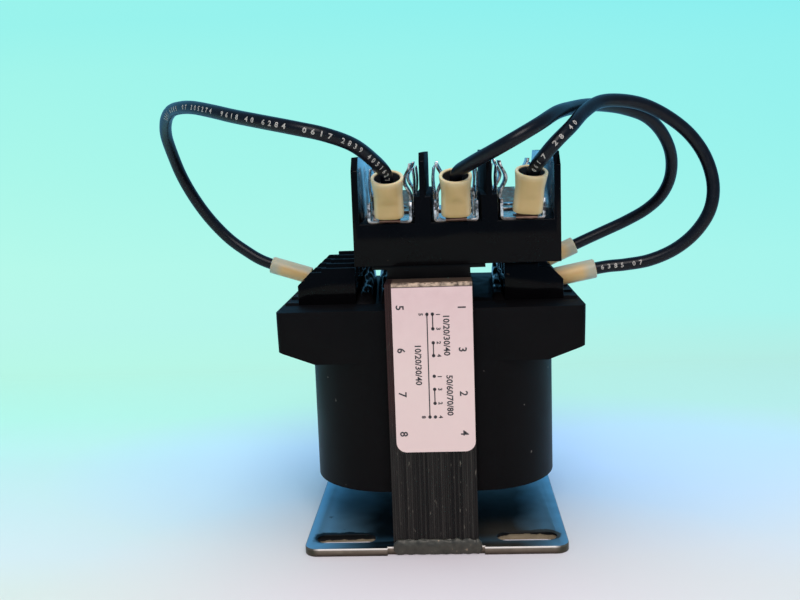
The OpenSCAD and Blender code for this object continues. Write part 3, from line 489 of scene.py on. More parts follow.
# %% [markdown]
# ## Black epoxy case
# The coil is cast into black epoxy in a mould. The mould's skin is satin, with a little dust and a few pale chips,
# and the open top, where the epoxy was poured, is glossy and slightly wavy. One finish can do both, because height
# tells them apart. Black plastic shows mostly what it mirrors, so the specular level is kept low and the roughness
# varies. Beside the core, epoxy has crept up round the lead-outs in shiny lumps.

# %% Finish of the case
def laid_over(tree, shade, value, first, last, colour, share=1.0):
    """Lays a colour over a shade, up to this share as a value goes from first to last."""
    cover = add(tree, "MapRange", {"Value": value, "From Min": first, "From Max": last, "To Max": share})
    return add(tree, "Mix", {0: cover, 6: shade, 7: colour}, data_type="RGBA")


epoxy, tree, shader, where, cloud, shade = mottled(
    "black_epoxy_cast", 14, 5.0, "#070707", "#110f10", Specular_IOR_Level=0.06)
# The poured top is at 73 mm, and what crept up stands higher than that.
height = add(tree, "SeparateXYZ", {"Vector": where}).outputs["Z"]
poured = add(tree, "MapRange", {"Value": height, "From Min": 0.0725, "From Max": 0.0729})
crept = add(tree, "MapRange", {"Value": height, "From Min": 0.0746, "From Max": 0.0756})
# The mould's grain is finer than a pixel, so it is drawn 0.8 mm coarse.
chips, wave, grain = (add(tree, "TexNoise", {"Vector": where, "Scale": per_mm(size), "Detail": detail})
                      for size, detail in ((2.2, 1.0), (7, 1.0), (0.8, 3.0)))
dusty = laid_over(tree, shade, chips, 0.8, 0.83, "#8a857c", 0.5)
satin = add(tree, "MapRange", {"Value": cloud, "To Min": 0.36, "To Max": 0.56})
wet = add(tree, "Mix", {0: crept, 2: 0.58, 3: 0.18})
rough = add(tree, "Mix", {0: poured, 2: satin, 3: wet})
relief = add(tree, "Mix", {0: poured, 2: grain, 3: wave})
lift = add(tree, "Mix", {0: poured, 2: 0.00003, 3: 0.00025})
bump = add(tree, "Bump", {"Height": relief, "Distance": lift, "Strength": 0.6})
feed(shader, {"Base Color": dusty, "Roughness": rough, "Normal": bump})
case = softened("coil_case", epoxy, "moulded_epoxy", 0.7, 3)
print("case faces:", len(case.data.polygons))

# %% Raise the epoxy that crept up
CREPT = {
    "crept_epoxy_left": (-22.9, -12.8, [((-23.5, -23.5), (-16.9, -20.2), (2.5, 9)),
                                        ((-15.8, -19.2), (-12.2, -12.2), (2.5, 9))]),
    "crept_epoxy_right": (12.8, 22.9, [((12.2, 12.2), (19.5, 21.5), (0.7, 1)),
                                       ((18.8, 21.4), (23.5, 23.5), (1.5, 7))]),
}
POURED_TOP, HIGHEST, SUNK_IN = 73, 11, 0.02


def crept_mesh(name, x0, x1, humps):
    """A lumpy closed solid on the poured top. A hump is its left side, right side and height, front and rear."""
    work = bmesh.new()
    columns, rows, half_length, fades_over = 40, 44, 27, 4
    grid = []
    for share in (j / rows for j in range(rows + 1)):
        y = half_length * (2 * share - 1)
        fade = min(1, (half_length - abs(y)) / fades_over)
        row = []
        for k in range(columns + 1):
            x = x0 + (x1 - x0) * k / columns
            rise = 0
            for hump in humps:
                left, right, height = (front + (rear - front) * share for front, rear in hump)
                off = min(1, abs(2 * x - left - right) / (right - left))
                rise = max(rise, height * (1 - off ** 4))
            lump = 1 + 0.3 * noise.noise(Vector((x * 0.35, y * 0.16, 2)))
            z = POURED_TOP + SUNK_IN + min(HIGHEST, fade * rise * lump)
            row.append(work.verts.new(Vector((x, y, z)) * MM))
        grid.append(row)
    skin_rows(work, grid, closed=False)
    skirt = bmesh.ops.extrude_edge_only(work, edges=[e for e in work.edges if e.is_boundary])
    for vert in skirt["geom"]:
        if isinstance(vert, bmesh.types.BMVert):
            vert.co.z = (POURED_TOP - SUNK_IN) * MM
    bmesh.ops.contextual_create(work, geom=[e for e in work.edges if e.is_boundary])
    return finished(work, name, 60)


for name, shape in CREPT.items():
    keep_piece(new_piece(name, crept_mesh(name, *shape), epoxy), "moulded_epoxy")

# %% [markdown]
# ## Black phenolic blocks
# The terminal blocks and the fuse block are moulded in black phenolic. It is harder and glossier than the case,
# with clean edges about 0.3 mm round. The inner sides of the fuse block's end walls mirror the backdrop at a low
# angle, and their upper part is painted the backdrop's blue as a painted reflection. The tops and barriers are
# rubbed dull, so the same moulding gets three finishes.

# %% Finish of the blocks
PHENOLIC = {"black_phenolic_moulded": (0.08, 0.06, 0.18, 0.0), "black_phenolic_glossy_wall_painted_reflection": (0.5, 0.22, 0.34, 0.9),
            "black_phenolic_dull_top": (0.06, 0.6, 0.75, 0.0)}
phenolics = []
for name, (specular, smooth, dull, coat) in PHENOLIC.items():
    finish, tree, shader, where, _, shade = mottled(
        name, 9, 5.0, "#040405", "#0b0a0c", (smooth, dull), Specular_IOR_Level=specular, Coat_Weight=coat,
        Coat_Roughness=0.15)
    phenolics.append(finish)
    if coat:
        # The upper part of the walls is painted blue-grey: a painted reflection of the backdrop.
        height = add(tree, "SeparateXYZ", {"Vector": where}).outputs["Z"]
        shade = laid_over(tree, shade, height, 0.101, 0.109, "#3c6a86")
    # Moulding grain is finer than a pixel too, so it is drawn 1.2 mm coarse.
    chips, grain = (add(tree, "TexNoise", {"Vector": where, "Scale": per_mm(size), "Detail": detail})
                    for size, detail in ((1.6, 1.0), (1.2, 3.0)))
    dusty = laid_over(tree, shade, chips, 0.79, 0.82, "#6e5a48", 0.35)
    bump = add(tree, "Bump", {"Height": grain, "Distance": 0.00001, "Strength": 0.5})
    feed(shader, {"Base Color": dusty, "Normal": bump})
print("finishes:", *PHENOLIC)

# %% Dress the blocks
HOLDER_FLOOR, LEFT_WALL, RIGHT_WALL = 97.5, (-21, -19), (36.5, 38.2)
moulded, glossy_wall, dull_top = phenolics
blocks = [softened(n, moulded, "black_moulding", 0.3) for n in ("left_terminal_block", "right_terminal_block")]
for block in blocks:
    block.data.materials.append(dull_top)
    for face in block.data.polygons:
        face.material_index = int(face.normal.z > 0.9)
fuse_block = softened("fuse_block", moulded, "black_moulding", 0.3)
fuse_block.data.materials.append(glossy_wall)
fuse_block.data.materials.append(dull_top)
for face in fuse_block.data.polygons:
    x, _, z = face.center / MM
    if z > HOLDER_FLOOR and face.normal.y > -0.5:
        at_wall = any(low < x < high for low, high in (LEFT_WALL, RIGHT_WALL))
        face.material_index = 1 if at_wall and abs(face.normal.x) > 0.9 else 2
print("blocks:", [len(b.data.polygons) for b in (*blocks, fuse_block)], "faces")

# %% [markdown]
# ## A stack of steel sheets
# The core is a stack of E-shaped sheets with a stack of straight I-shaped ones across their open ends. Electrical
# steel of 24 gauge is 0.635 mm thick, so 40 sheets make 25.4 mm. One sheet is drawn, and Geometry Nodes lay copies
# of it side by side. Each copy is shifted a little and gets its own tone, because hand-stacked sheets never line up
# and each edge is rubbed differently. Bump on one block would be lighter, but it can't give the ragged outline.

# %% Helpers for node trees
def new_tree(name, inputs):
    """A Geometry Nodes tree with a geometry input, named inputs and a geometry output."""
    made = bpy.data.node_groups.new(name, "GeometryNodeTree")
    made.interface.new_socket("Piece", in_out="INPUT", socket_type="NodeSocketGeometry")
    for label, kind in inputs.items():
        made.interface.new_socket(label, in_out="INPUT", socket_type="NodeSocket" + kind)
    made.interface.new_socket("Geometry", in_out="OUTPUT", socket_type="NodeSocketGeometry")
    return made, add(made, "NodeGroupInput").outputs, add(made, "NodeGroupOutput")


def end_tree(tree, copies, finish, result):
    """Makes the copies real and gives them their finish, because the export drops instances."""
    real = add(tree, "GeometryNodeRealizeInstances", {"Geometry": copies})
    feed(result, {0: add(tree, "GeometryNodeSetMaterial", {"Geometry": real, "Material": finish})})


def grown(name, mesh, tree, values):
    """Runs a tree on a mesh with these inputs, and keeps the result as a plain mesh."""
    piece = linked(name, mesh)
    modifier = piece.modifiers.new("nodes", "NODES")
    modifier.node_group = tree
    for socket in tree.interface.items_tree:
        if socket.in_out == "INPUT" and socket.name in values:
            modifier[socket.identifier] = values[socket.name]
    return baked(piece)


# %% Node tree for a stack
stack_tree, given, result = new_tree(
    "sheet_stack", {"Sheets": "Int", "Pitch": "Float", "Shift": "Float", "Seed": "Int", "Finish": "Material"})
step = add(stack_tree, "CombineXYZ", {"X": given["Pitch"]})
row = add(stack_tree, "GeometryNodeMeshLine", {"Count": given["Sheets"], "Offset": step})
low = add(stack_tree, "Math", {0: given["Shift"], 1: -1.0}, operation="MULTIPLY")
slide = add(stack_tree, "FunctionNodeRandomValue", {2: low, 3: given["Shift"], "Seed": given["Seed"]})
ragged = add(stack_tree, "CombineXYZ", {"Y": slide})
moved = add(stack_tree, "GeometryNodeSetPosition", {"Geometry": row, "Offset": ragged})
copies = add(stack_tree, "GeometryNodeInstanceOnPoints", {"Points": moved, "Instance": given["Piece"]})
number = add(stack_tree, "GeometryNodeInputIndex")
every_other = add(stack_tree, "Math", {0: number, 1: 2.0}, operation="MODULO")
own = add(stack_tree, "FunctionNodeRandomValue", {2: 0.0, 3: 0.7, "Seed": given["Seed"]})
tone = add(stack_tree, "Math", {0: every_other, 1: 0.3, 2: own}, operation="MULTIPLY_ADD")
toned = add(stack_tree, "GeometryNodeStoreNamedAttribute", {"Geometry": copies, "Name": "tone", "Value": tone},
            domain="INSTANCE")
end_tree(stack_tree, toned, given["Finish"], result)
print("tree:", stack_tree.name)

# %% Finish of the sheets
# Varnished steel is nearly black; along a sheet's cut edge it is streaked, and bare where something rubbed it.
sheet_steel, tree, shader, where = new_finish("varnished_electrical_steel", Metallic=0.2, Specular_IOR_Level=0.2)
long_way = add(tree, "Mapping", {"Vector": where, "Scale": (1, 1, 0.06)})
streak = add(tree, "TexNoise", {"Vector": long_way, "Scale": per_mm(0.7), "Detail": 3.0})
tone = add(tree, "Attribute", attribute_name="tone").outputs["Fac"]
light = add(tree, "Math", {0: streak, 1: tone}, operation="MULTIPLY")
shade = laid_over(tree, "#100e0c", light, 0.05, 0.55, "#302d29")
bare_way = add(tree, "Mapping", {"Vector": where, "Scale": (1, 1, 0.3)})
bare = add(tree, "TexNoise", {"Vector": bare_way, "Scale": per_mm(0.9), "Detail": 2.0})
rubbed = laid_over(tree, shade, bare, 0.66, 0.76, "#7d776a", 0.6)
# Reddish varnish has run down the left edge of the stack, above the middle of its height.
split = add(tree, "SeparateXYZ", {"Vector": where})
edge = add(tree, "MapRange", {"Value": split.outputs["X"], "From Min": -0.0095, "From Max": -0.0102, "To Max": 0.9})
upper = add(tree, "MapRange", {"Value": split.outputs["Z"], "From Min": 0.036, "From Max": 0.046})
pools = add(tree, "TexNoise", {"Vector": where, "Scale": per_mm(14), "Detail": 3.0})
pool = add(tree, "MapRange", {"Value": pools, "From Min": 0.36, "From Max": 0.5})
runs = add(tree, "Math", {0: edge, 1: pool}, operation="MULTIPLY")
runs = add(tree, "Math", {0: runs, 1: upper}, operation="MULTIPLY")
varnish = add(tree, "Mix", {0: runs, 6: rubbed, 7: "#35211f"}, data_type="RGBA")
rough = add(tree, "MapRange", {"Value": streak, "To Min": 0.35, "To Max": 0.65})
feed(shader, {"Base Color": varnish, "Roughness": rough})
print("finish:", sheet_steel.name)

# %% Stack the sheets
SHEET_PITCH, SHEET_T, SHEETS = 0.635, 0.57, 40
E_SHAPE = [(-47.6, 2.4), (47.6, 2.4), (47.6, 65.9), (31.7, 65.9), (31.7, 18.3), (15.9, 18.3), (15.9, 65.9),
           (-15.9, 65.9), (-15.9, 18.3), (-31.7, 18.3), (-31.7, 65.9), (-47.6, 65.9)]
I_SHAPE = [(-47.6, 65.95), (47.6, 65.95), (47.6, 81.8), (-47.6, 81.8)]


def sheet_mesh(name, outline):
    """One sheet, lying at the left end of the stack."""
    work = bmesh.new()
    start = -SHEET_PITCH * SHEETS / 2 + (SHEET_PITCH - SHEET_T) / 2
    face = work.faces.new([work.verts.new(Vector((start, y, z)) * MM) for y, z in outline])
    sides = bmesh.ops.extrude_face_region(work, geom=[face])
    for item in sides["geom"]:
        if isinstance(item, bmesh.types.BMVert):
            item.co.x += SHEET_T * MM
    return finished(work, name)


for name, outline, seed in (("e_core", E_SHAPE, 3), ("i_core", I_SHAPE, 8)):
    stack = grown(
        name + "_sheets", sheet_mesh(name + "_sheet", outline), stack_tree,
        {"Sheets": SHEETS, "Pitch": SHEET_PITCH * MM, "Shift": 0.12 * MM, "Seed": seed, "Finish": sheet_steel})
    keep_piece(stack, "varnished_laminations", name)
    print(stack.name, len(stack.data.polygons), "faces")

# %% [markdown]
# ## Slotted steel foot
# The foot is blanked from steel sheet: a smooth, bluish top and a bare edge where it was sheared, with a painted
# highlight along the edge's top. Varnish that ran down the core has dried dark on it, most of all beside the core and
# round the slots. Top, sheared edge and slot walls are three finishes on one mesh, chosen by which way each face
# points and where it is.

# %% Finish of the foot's top
SLOT_X, SLOT_HALF, SLOT_Y, STAIN_X = (size * MM for size in (27.5, 6, 39.9, 3))
foot_steel, tree, shader, where = new_finish("blued_steel_sheet", Metallic=0.7)
split = add(tree, "SeparateXYZ", {"Vector": where})
ragged = add(tree, "TexNoise", {"Vector": where, "Scale": per_mm(16), "Detail": 2.0})
beside = add(tree, "Math", {0: split.outputs["X"], 1: STAIN_X}, operation="SUBTRACT")
beside = add(tree, "Math", {0: beside}, operation="ABSOLUTE")
reach = add(tree, "Math", {0: ragged, 1: -0.016, 2: beside}, operation="MULTIPLY_ADD")
stain = add(tree, "MapRange", {"Value": reach, "From Min": 0.013, "From Max": 0.03, "To Min": 0.98, "To Max": 0.0})
spots = add(tree, "TexNoise", {"Vector": where, "Scale": per_mm(4), "Detail": 4.0})
spot = add(tree, "MapRange", {"Value": spots, "From Min": 0.7, "From Max": 0.76, "To Max": 0.6})
dirty = add(tree, "Math", {0: stain, 1: spot}, operation="MAXIMUM")
print("stain's middle, mm:", round(STAIN_X / MM, 1))

# %% Dark rings round the foot's slots
# Both coordinates are measured from the nearest slot's middle line, so one ring serves all four slots.
side, along = split.outputs["X"], split.outputs["Y"]
for operation, amount in (("ABSOLUTE", 0.0), ("SUBTRACT", SLOT_X), ("ABSOLUTE", 0.0), ("SUBTRACT", SLOT_HALF),
                          ("MAXIMUM", 0.0)):
    side = add(tree, "Math", {0: side, 1: amount}, operation=operation)
for operation, amount in (("ABSOLUTE", 0.0), ("SUBTRACT", SLOT_Y)):
    along = add(tree, "Math", {0: along, 1: amount}, operation=operation)
from_slot = add(tree, "CombineXYZ", {"X": side, "Y": along})
from_slot = add(tree, "VectorMath", {0: from_slot}, operation="LENGTH")
wander = add(tree, "Math", {0: spots, 1: -0.003, 2: from_slot}, operation="MULTIPLY_ADD")
ring = add(
    tree, "MapRange", {"Value": wander, "From Min": 0.0022, "From Max": 0.0032, "To Min": 0.95, "To Max": 0.0})
dirty = add(tree, "Math", {0: dirty, 1: ring}, operation="MAXIMUM")
# At the front right the varnish is thin and dusty, so it is brown there.
front = add(tree, "MapRange", {"Value": split.outputs["Y"], "From Min": -0.024, "From Max": -0.036})
right_side = add(tree, "MapRange", {"Value": split.outputs["X"], "From Min": 0.005, "From Max": 0.018})
brown = add(tree, "Math", {0: front, 1: right_side}, operation="MULTIPLY")
dried = add(tree, "Mix", {0: brown, 6: "#06090d", 7: "#4a4234"}, data_type="RGBA")
shade = add(tree, "Mix", {0: dirty, 6: "#78a9c2", 7: dried}, data_type="RGBA")
rough = add(tree, "MapRange", {"Value": spots, "To Min": 0.42, "To Max": 0.56})
feed(shader, {"Base Color": shade, "Roughness": rough})
print("finish:", foot_steel.name)

# %% Finishes of the foot's edges
# A shear leaves a burnished band at the top and a torn, duller one below it; the top band is painted near white with
# little metal, as a painted highlight.
sheared, tree, shader, where = new_finish("sheared_steel_edge")
split = add(tree, "SeparateXYZ", {"Vector": where})
painted_edge_highlight = add(tree, "MapRange", {"Value": split.outputs["Z"], "From Min": 0.0018, "From Max": 0.0021})
scratch = add(tree, "TexNoise", {"Vector": where, "Scale": per_mm(3), "Detail": 4.0})
brown = laid_over(tree, "#2b2620", split.outputs["Z"], 0.0004, 0.0016, "#a2937f")
dull = add(tree, "Mix", {0: scratch, 6: "#5c5044", 7: brown}, data_type="RGBA")
clean = add(tree, "Mix", {0: painted_edge_highlight, 6: dull, 7: "#ece4d8"}, data_type="RGBA")
outer = add(tree, "Math", {0: split.outputs["X"]}, operation="ABSOLUTE")
feed(shader, {
    "Base Color": laid_over(tree, clean, outer, 0.0352, 0.037, "#4a4538"),
    "Roughness": add(tree, "MapRange", {"Value": scratch, "To Min": 0.3, "To Max": 0.55}),
    "Metallic": add(tree, "MapRange", {"Value": painted_edge_highlight, "To Min": 0.8, "To Max": 0.1})})

# In the slots varnish has dried over most of the wall.
slot_wall, tree, shader, where, patchy, steel = mottled(
    "varnished_slot_wall", 5, 3.0, "#6f6350", "#b7a684", Metallic=0.6, Roughness=0.4)
split = add(tree, "SeparateXYZ", {"Vector": where})
less = add(
    tree, "MapRange",
    {"Value": split.outputs["X"], "From Min": -0.03, "From Max": 0.02, "To Min": -0.0004, "To Max": 0.0006})
reach = add(tree, "Math", {0: patchy, 1: 0.0026, 2: less}, operation="MULTIPLY_ADD")
bare = add(tree, "Math", {0: reach, 1: split.outputs["Z"]}, operation="SUBTRACT")
feed(shader, {"Base Color": laid_over(tree, "#0c0b0a", bare, 0.0, 0.0003, steel)})
print("finishes:", sheared.name, slot_wall.name)

# %% Dress the foot
SLOTS_FROM, SLOTS_TO, SLOTS_END = 16, 38, 46
foot = softened("mounting_plate", foot_steel, "plated_steel", 0.15)
foot.data.materials.append(sheared)
foot.data.materials.append(slot_wall)
for face in foot.data.polygons:
    if abs(face.normal.z) < 0.95:
        x, y, _ = face.center / MM
        in_slot = SLOTS_FROM < abs(x) < SLOTS_TO and abs(y) < SLOTS_END
        face.material_index = 2 if in_slot else 1
print("foot:", sum(f.material_index > 0 for f in foot.data.polygons), "edge faces")

# %% [markdown]
# ## Weld beads
# A short bead of weld at the front and rear holds the core to the foot. A weld is a row of overlapping drops, so the
# bead is a swept half-round whose size swells and shrinks along its length, with some noise on top.

# %% Finish of the welds
# A weld is rough and scaly, dark under the varnish, with a few specks of rust.
weld, tree, shader, _, scale, shade = mottled(
    "varnished_weld", 2, 4.0, "#23221b", "#545146", (0.3, 0.6), Metallic=0.3)
feed(shader, {"Base Color": laid_over(tree, shade, scale, 0.66, 0.72, "#a08c74", 0.7)})
print("finish:", weld.name)

# %% Sweep the welds
WELD_X, WELD_L, CORE_FACE, BEAD_Z, BEAD_DEEP, BEAD_HIGH, DEEPEST = -12.7, 26.4, 47.62, 2.3, 0.9, 2.35, 0.95


def weld_mesh(name, end):
    """A lumpy bead along X against the front (-1) or rear (1) face of the core."""
    work = bmesh.new()
    stations, turns = 80, 14
    rings = []
    for k in range(stations + 1):
        x = WELD_X + WELD_L * k / stations
        drop = 0.95 + 0.13 * abs(math.sin(x * 0.9 + end)) + 0.16 * noise.noise(Vector((x * 0.4, end, 0)))
        from_end = WELD_L * min(k, stations - k) / stations
        taper = min(1, 0.5 + from_end / 2.5)
        ring = []
        for a in (math.pi * j / turns for j in range(turns + 1)):
            lump = 1 + 0.14 * noise.noise(Vector((x * 0.6, 2 * math.cos(a), 3 * end + 2 * math.sin(a))))
            y = min(DEEPEST, BEAD_DEEP * drop * taper * lump * math.sin(a))
            z = BEAD_Z + BEAD_HIGH * drop * taper * lump * math.cos(a)
            ring.append(work.verts.new(Vector((x, end * (CORE_FACE + y), max(0.05, z))) * MM))
        rings.append(ring)
    skin_rows(work, rings, capped=True)
    return finished(work, name, 60)


for name, end in (("weld_bead_front", -1), ("weld_bead_rear", 1)):
    bead = new_piece(name + "_lumpy", weld_mesh(name + "_lumpy", end), weld)
    keep_piece(bead, "weld_steel", name)
    print(bead.name, len(bead.data.polygons), "faces")

# %% [markdown]
# ## Bright metal: clips, springs and brass
# The fuse clips are stamped from bronze and tin-plated, and a spring of bright steel is nested round each pair of
# leaves. Sheet metal this thin is never quite flat, so a soft bump bends the mirror images in it. The cut ends of
# the sheet show the bare bronze. The terminal plates and the connectors are tinned brass, a little warmer.

# %% Finishes of the metals
METALS = {
    "tin_plate_on_bronze": ("#6e5f52", "#e0c0a4", 0.1, 0.28),
    "bright_spring_steel": ("#9aa2a9", "#bcc3c8", 0.16, 0.34),
    "tinned_brass": ("#b9ad8c", "#d3c9ac", 0.2, 0.38),
    "zinc_plated_steel": ("#a3a8ab", "#c3c7c8", 0.22, 0.4),
    "bare_bronze_cut": ("#4a3a33", "#c3ab9c", 0.25, 0.45),
    "tarnished_bronze": ("#17110e", "#4c382c", 0.3, 0.5),
}
metals = {}
for name, (dark, bright, smooth, dull) in METALS.items():
    metals[name], tree, shader, where, tarnish, shade = mottled(
        name, 1.6, 4.0, dark, bright, (smooth, dull), Metallic=1.0)
    if name == "bare_bronze_cut":
        # Above the clip's floor the cut ends have kept patches of bright plating.
        height = add(tree, "SeparateXYZ", {"Vector": where}).outputs["Z"]
        plated = laid_over(tree, "#57514d", tarnish, 0.42, 0.58, "#f0ede8")
        shade = laid_over(tree, shade, height, 0.0985, 0.0995, plated)
    if name == "tarnished_bronze":
        # The bend at the root of a tab is rubbed bright.
        height = add(tree, "SeparateXYZ", {"Vector": where}).outputs["Z"]
        shade = laid_over(tree, shade, height, 0.0993, 0.0991, "#c79a86")
    dents = add(tree, "TexNoise", {"Vector": where, "Scale": per_mm(3.2), "Detail": 2.0})
    bump = add(tree, "Bump", {"Height": dents, "Distance": 0.0007, "Strength": 0.6})
    feed(shader, {"Base Color": shade, "Normal": bump})
print("metals:", list(metals))

# %% Dress the sheet-metal pieces
def refinish(node_name, finish):
    """Gives a CAD node's own mesh another finish."""
    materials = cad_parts[node_name].data.materials
    materials.clear()
    materials.append(finish)


tin, spring, brass, zinc, bronze, dark_bronze = metals.values()
POLES, TAB_HALF, FACES_END = (1, 2, 3), 3.6, 0.8
sheet_metal = []
for end in ("front", "rear"):
    for i in POLES:
        clip = softened(f"{end}_clip_{i}", tin, "tinned_bronze", 0.12)
        clip.data.materials.append(bronze)
        clip.data.materials.append(dark_bronze)
        for face in clip.data.polygons:
            x, y, _ = face.center / MM
            on_tab = y < TAB_ROOT_Y - 0.1 and abs(x - TAB_X[i - 1]) < TAB_HALF
            cut = abs(face.normal.y) > FACES_END
            face.material_index = 2 if on_tab else int(cut)
        sheet_metal += [clip, softened(f"{end}_clip_spring_{i}", spring, "spring_steel", 0.1)]
for side in ("left", "right"):
    for i in (1, 2, 3, 4):
        sheet_metal.append(softened(f"{side}_terminal_plate_{i}", brass, "tinned_brass", 0.15))
for i in POLES:
    refinish(f"tab_receptacle_{i}", brass)
    refinish(f"ring_terminal_{i}", brass)
print("sheet-metal pieces:", len(sheet_metal))

# %% [markdown]
# ## Screws, washers and rivets
# The terminal screws are domed, slotted heads over square washers, in two rows of four. The clips are held by round
# rivets, and the block by two slotted screws. One head of each kind is modelled, and one node tree places copies on
# a grid and turns each by its own angle, since no two screws stop at the same place.

# %% Node tree for a grid of copies
grid_tree, given, result = new_tree(
    "grid_of_copies",
    {"Size X": "Float", "Size Y": "Float", "Columns": "Int", "Rows": "Int", "Centre": "Vector", "Turn": "Float",
     "Seed": "Int", "Finish": "Material"})
grid = add(grid_tree, "GeometryNodeMeshGrid", {
    "Size X": given["Size X"], "Size Y": given["Size Y"], "Vertices X": given["Columns"],
    "Vertices Y": given["Rows"]})
moved = add(grid_tree, "GeometryNodeSetPosition", {"Geometry": grid, "Offset": given["Centre"]})
angle = add(grid_tree, "FunctionNodeRandomValue", {2: 0.0, 3: given["Turn"], "Seed": given["Seed"]})
turn = add(grid_tree, "CombineXYZ", {"Z": angle})
copies = add(grid_tree, "GeometryNodeInstanceOnPoints",
             {"Points": moved, "Instance": given["Piece"], "Rotation": turn})
end_tree(grid_tree, copies, given["Finish"], result)
print("tree:", grid_tree.name)

# %% Helpers for turned heads
def turned(name, profile, segments=32):
    """A mesh turned about Z from points of radius and height, in millimetres, from bottom to top."""
    work = bmesh.new()
    points = [work.verts.new(Vector((r, 0, z)) * MM) for r, z in profile]
    edges = [work.edges.new(pair) for pair in zip(points, points[1:])]
    bmesh.ops.spin(
        work, geom=points + edges, cent=(0, 0, 0), axis=(0, 0, 1), angle=2 * math.pi, steps=segments,
        use_merge=True)
    bmesh.ops.remove_doubles(work, verts=work.verts, dist=0.001 * MM)
    return finished(work, name)


def slotted(mesh, width, bottom, span=12, tall=6):
    """Cuts a driving slot across a head."""
    head = linked("head", mesh)
    work = bmesh.new()
    bmesh.ops.create_cube(work, size=1)
    bmesh.ops.scale(work, vec=Vector((span, width, tall)) * MM, verts=work.verts)
    bmesh.ops.translate(work, vec=Vector((0, 0, bottom + tall / 2)) * MM, verts=work.verts)
    cutter = linked("cutter", finished(work, "cutter", outward=False))
    cut = head.modifiers.new("slot", "BOOLEAN")
    cut.object = cutter
    cut.solver = "EXACT"
    made = baked(head).data
    bpy.data.objects.remove(cutter)
    bpy.data.objects.remove(head)
    shaded(made, 40)
    return made


def dome(radius, height, steps=7):
    """Profile of a domed head that starts with a short upright rim."""
    rim = 0.35 * height
    curve = [(radius * math.cos(t), rim + (height - rim) * math.sin(t))
             for t in (math.pi / 2 * k / steps for k in range(steps + 1))]
    return [(0, 0), (radius - 0.2, 0), (radius, 0.2), *curve[:-1], (0, height)]


print("points of a screw's dome:", len(dome(3.7, 2.8)))

# %% Model one of each head
screw_mesh = slotted(turned("terminal_screw", [(0, -8), (2, -8), (2, 0), *dome(3.7, 2.8)[1:]]), 1.2, 1.6)
BLOCK_SCREW = [(0, -15.6), (1.75, -15.6), (1.75, 0), (3, 0), (3.2, 0.2), (3.2, 1.9), (2.9, 2.2), (0, 2.2)]
block_screw_mesh = slotted(turned("block_screw", BLOCK_SCREW), 1.0, 1.3)
rivet_mesh = turned("clip_rivet", [(0, -6.2), (1.5, -6.2), (1.5, 0), *dome(2.5, 0.8)[1:]])
shaded(rivet_mesh, 40)
print("heads:", len(screw_mesh.polygons), len(block_screw_mesh.polygons), len(rivet_mesh.polygons))

# %% Model a clamp washer
def washer_mesh(half=4.1, bore=2.1, thick=1, steps=32):
    """A square washer with a round hole and a soft edge."""
    work = bmesh.new()
    hole, square = [], []
    for k in range(steps):
        a = 2 * math.pi * (k + 0.5) / steps
        reach = half / max(abs(math.cos(a)), abs(math.sin(a)))
        hole.append((bore * math.cos(a), bore * math.sin(a)))
        square.append((reach * math.cos(a), reach * math.sin(a)))
    loops = [[work.verts.new(Vector((x, y, z)) * MM) for x, y in outline]
             for outline, z in ((hole, 0), (square, 0), (square, thick), (hole, thick))]
    skin_rows(work, [*loops, loops[0]])
    piece = bevelled(linked("clamp_washer", finished(work, "clamp_washer")), 0.15)
    made = piece.data
    bpy.data.objects.remove(piece)
    return made


washer = washer_mesh()
print("washer:", len(washer.polygons), "faces")

# %% Place the fasteners
SCREW_X, TERMINAL_PITCH, POLE_PITCH, POLE_X = 31.5, 12.5, 19.6, 8.6
PLACES = [
    ("terminal_screw_heads", screw_mesh, (2 * SCREW_X, 3 * TERMINAL_PITCH, 2, 4, (0, 0, 76.8), 3.1, 5),
     ("left_terminal_screws", "right_terminal_screws")),
    ("terminal_washers", washer, (2 * SCREW_X, 3 * TERMINAL_PITCH, 2, 4, (0, 0, 75.8), 0.0, 1),
     ("left_clamp_washers", "right_clamp_washers")),
    ("clip_rivet_heads", rivet_mesh, (2 * POLE_PITCH, 56, 3, 2, (POLE_X, 0, 99.1), 0.0, 1), ("clip_rivets",)),
    ("block_screw_heads", block_screw_mesh, (0, 11, 1, 2, (POLE_X, 0, 96.0), 3.1, 2), ("fuse_block_screws",)),
]
for name, mesh, (wide, long, columns, rows, centre, turn, seed), nodes in PLACES:
    piece = grown(name, mesh, grid_tree, {
        "Size X": wide * MM, "Size Y": long * MM, "Columns": columns, "Rows": rows,
        "Centre": [c * MM for c in centre], "Turn": turn, "Seed": seed, "Finish": zinc})
    keep_piece(piece, "plated_fasteners", *nodes)
    print(name, len(piece.data.polygons), "faces")

# %% [markdown]
# ## Bracket and hidden pieces
# A bent steel channel, painted black, carries the fuse block over the core. The coil's former, windings and
# insulation are cast in and never seen, but each still gets the finish of its material, so that a cut-open model
# looks right too.

# %% Dress the bracket and the coil
# Paint on steel is a little uneven, with a satin shine.
paint = mottled("black_paint_on_steel", 6, 5.0, "#060607", "#121110", (0.35, 0.6), Specular_IOR_Level=0.12)[0]
bracket = softened("fuse_block_bracket", paint, "painted_bracket", 0.25)
WINDINGS = {
    "enamelled_copper_wire": ("#7a3a16", "#c47a44", 0.9, 0.32, ("secondary_winding", "primary_winding")),
    "kraft_paper_insulation": ("#a98f58", "#cfb986", 0.0, 0.8, ("winding_insulation",)),
    "natural_nylon_former": ("#c9c2ad", "#e0dac8", 0.0, 0.5, ("coil_former",)),
}
for name, (dark, bright, metallic, dull, nodes) in WINDINGS.items():
    finish, tree, shader, where = new_finish(name, Metallic=metallic, Roughness=dull)
    # A turn of wire is about 1 mm. It is drawn coarser, as bands about 6 mm wide, so that it shows.
    bands = add(tree, "TexWave", {"Vector": where, "Scale": per_mm(20), "Distortion": 1.0}, bands_direction="Z")
    shade = add(tree, "Mix", {0: bands.outputs["Fac"], 6: dark, 7: bright}, data_type="RGBA")
    feed(shader, {"Base Color": shade})
    for node_name in nodes:
        refinish(node_name, finish)
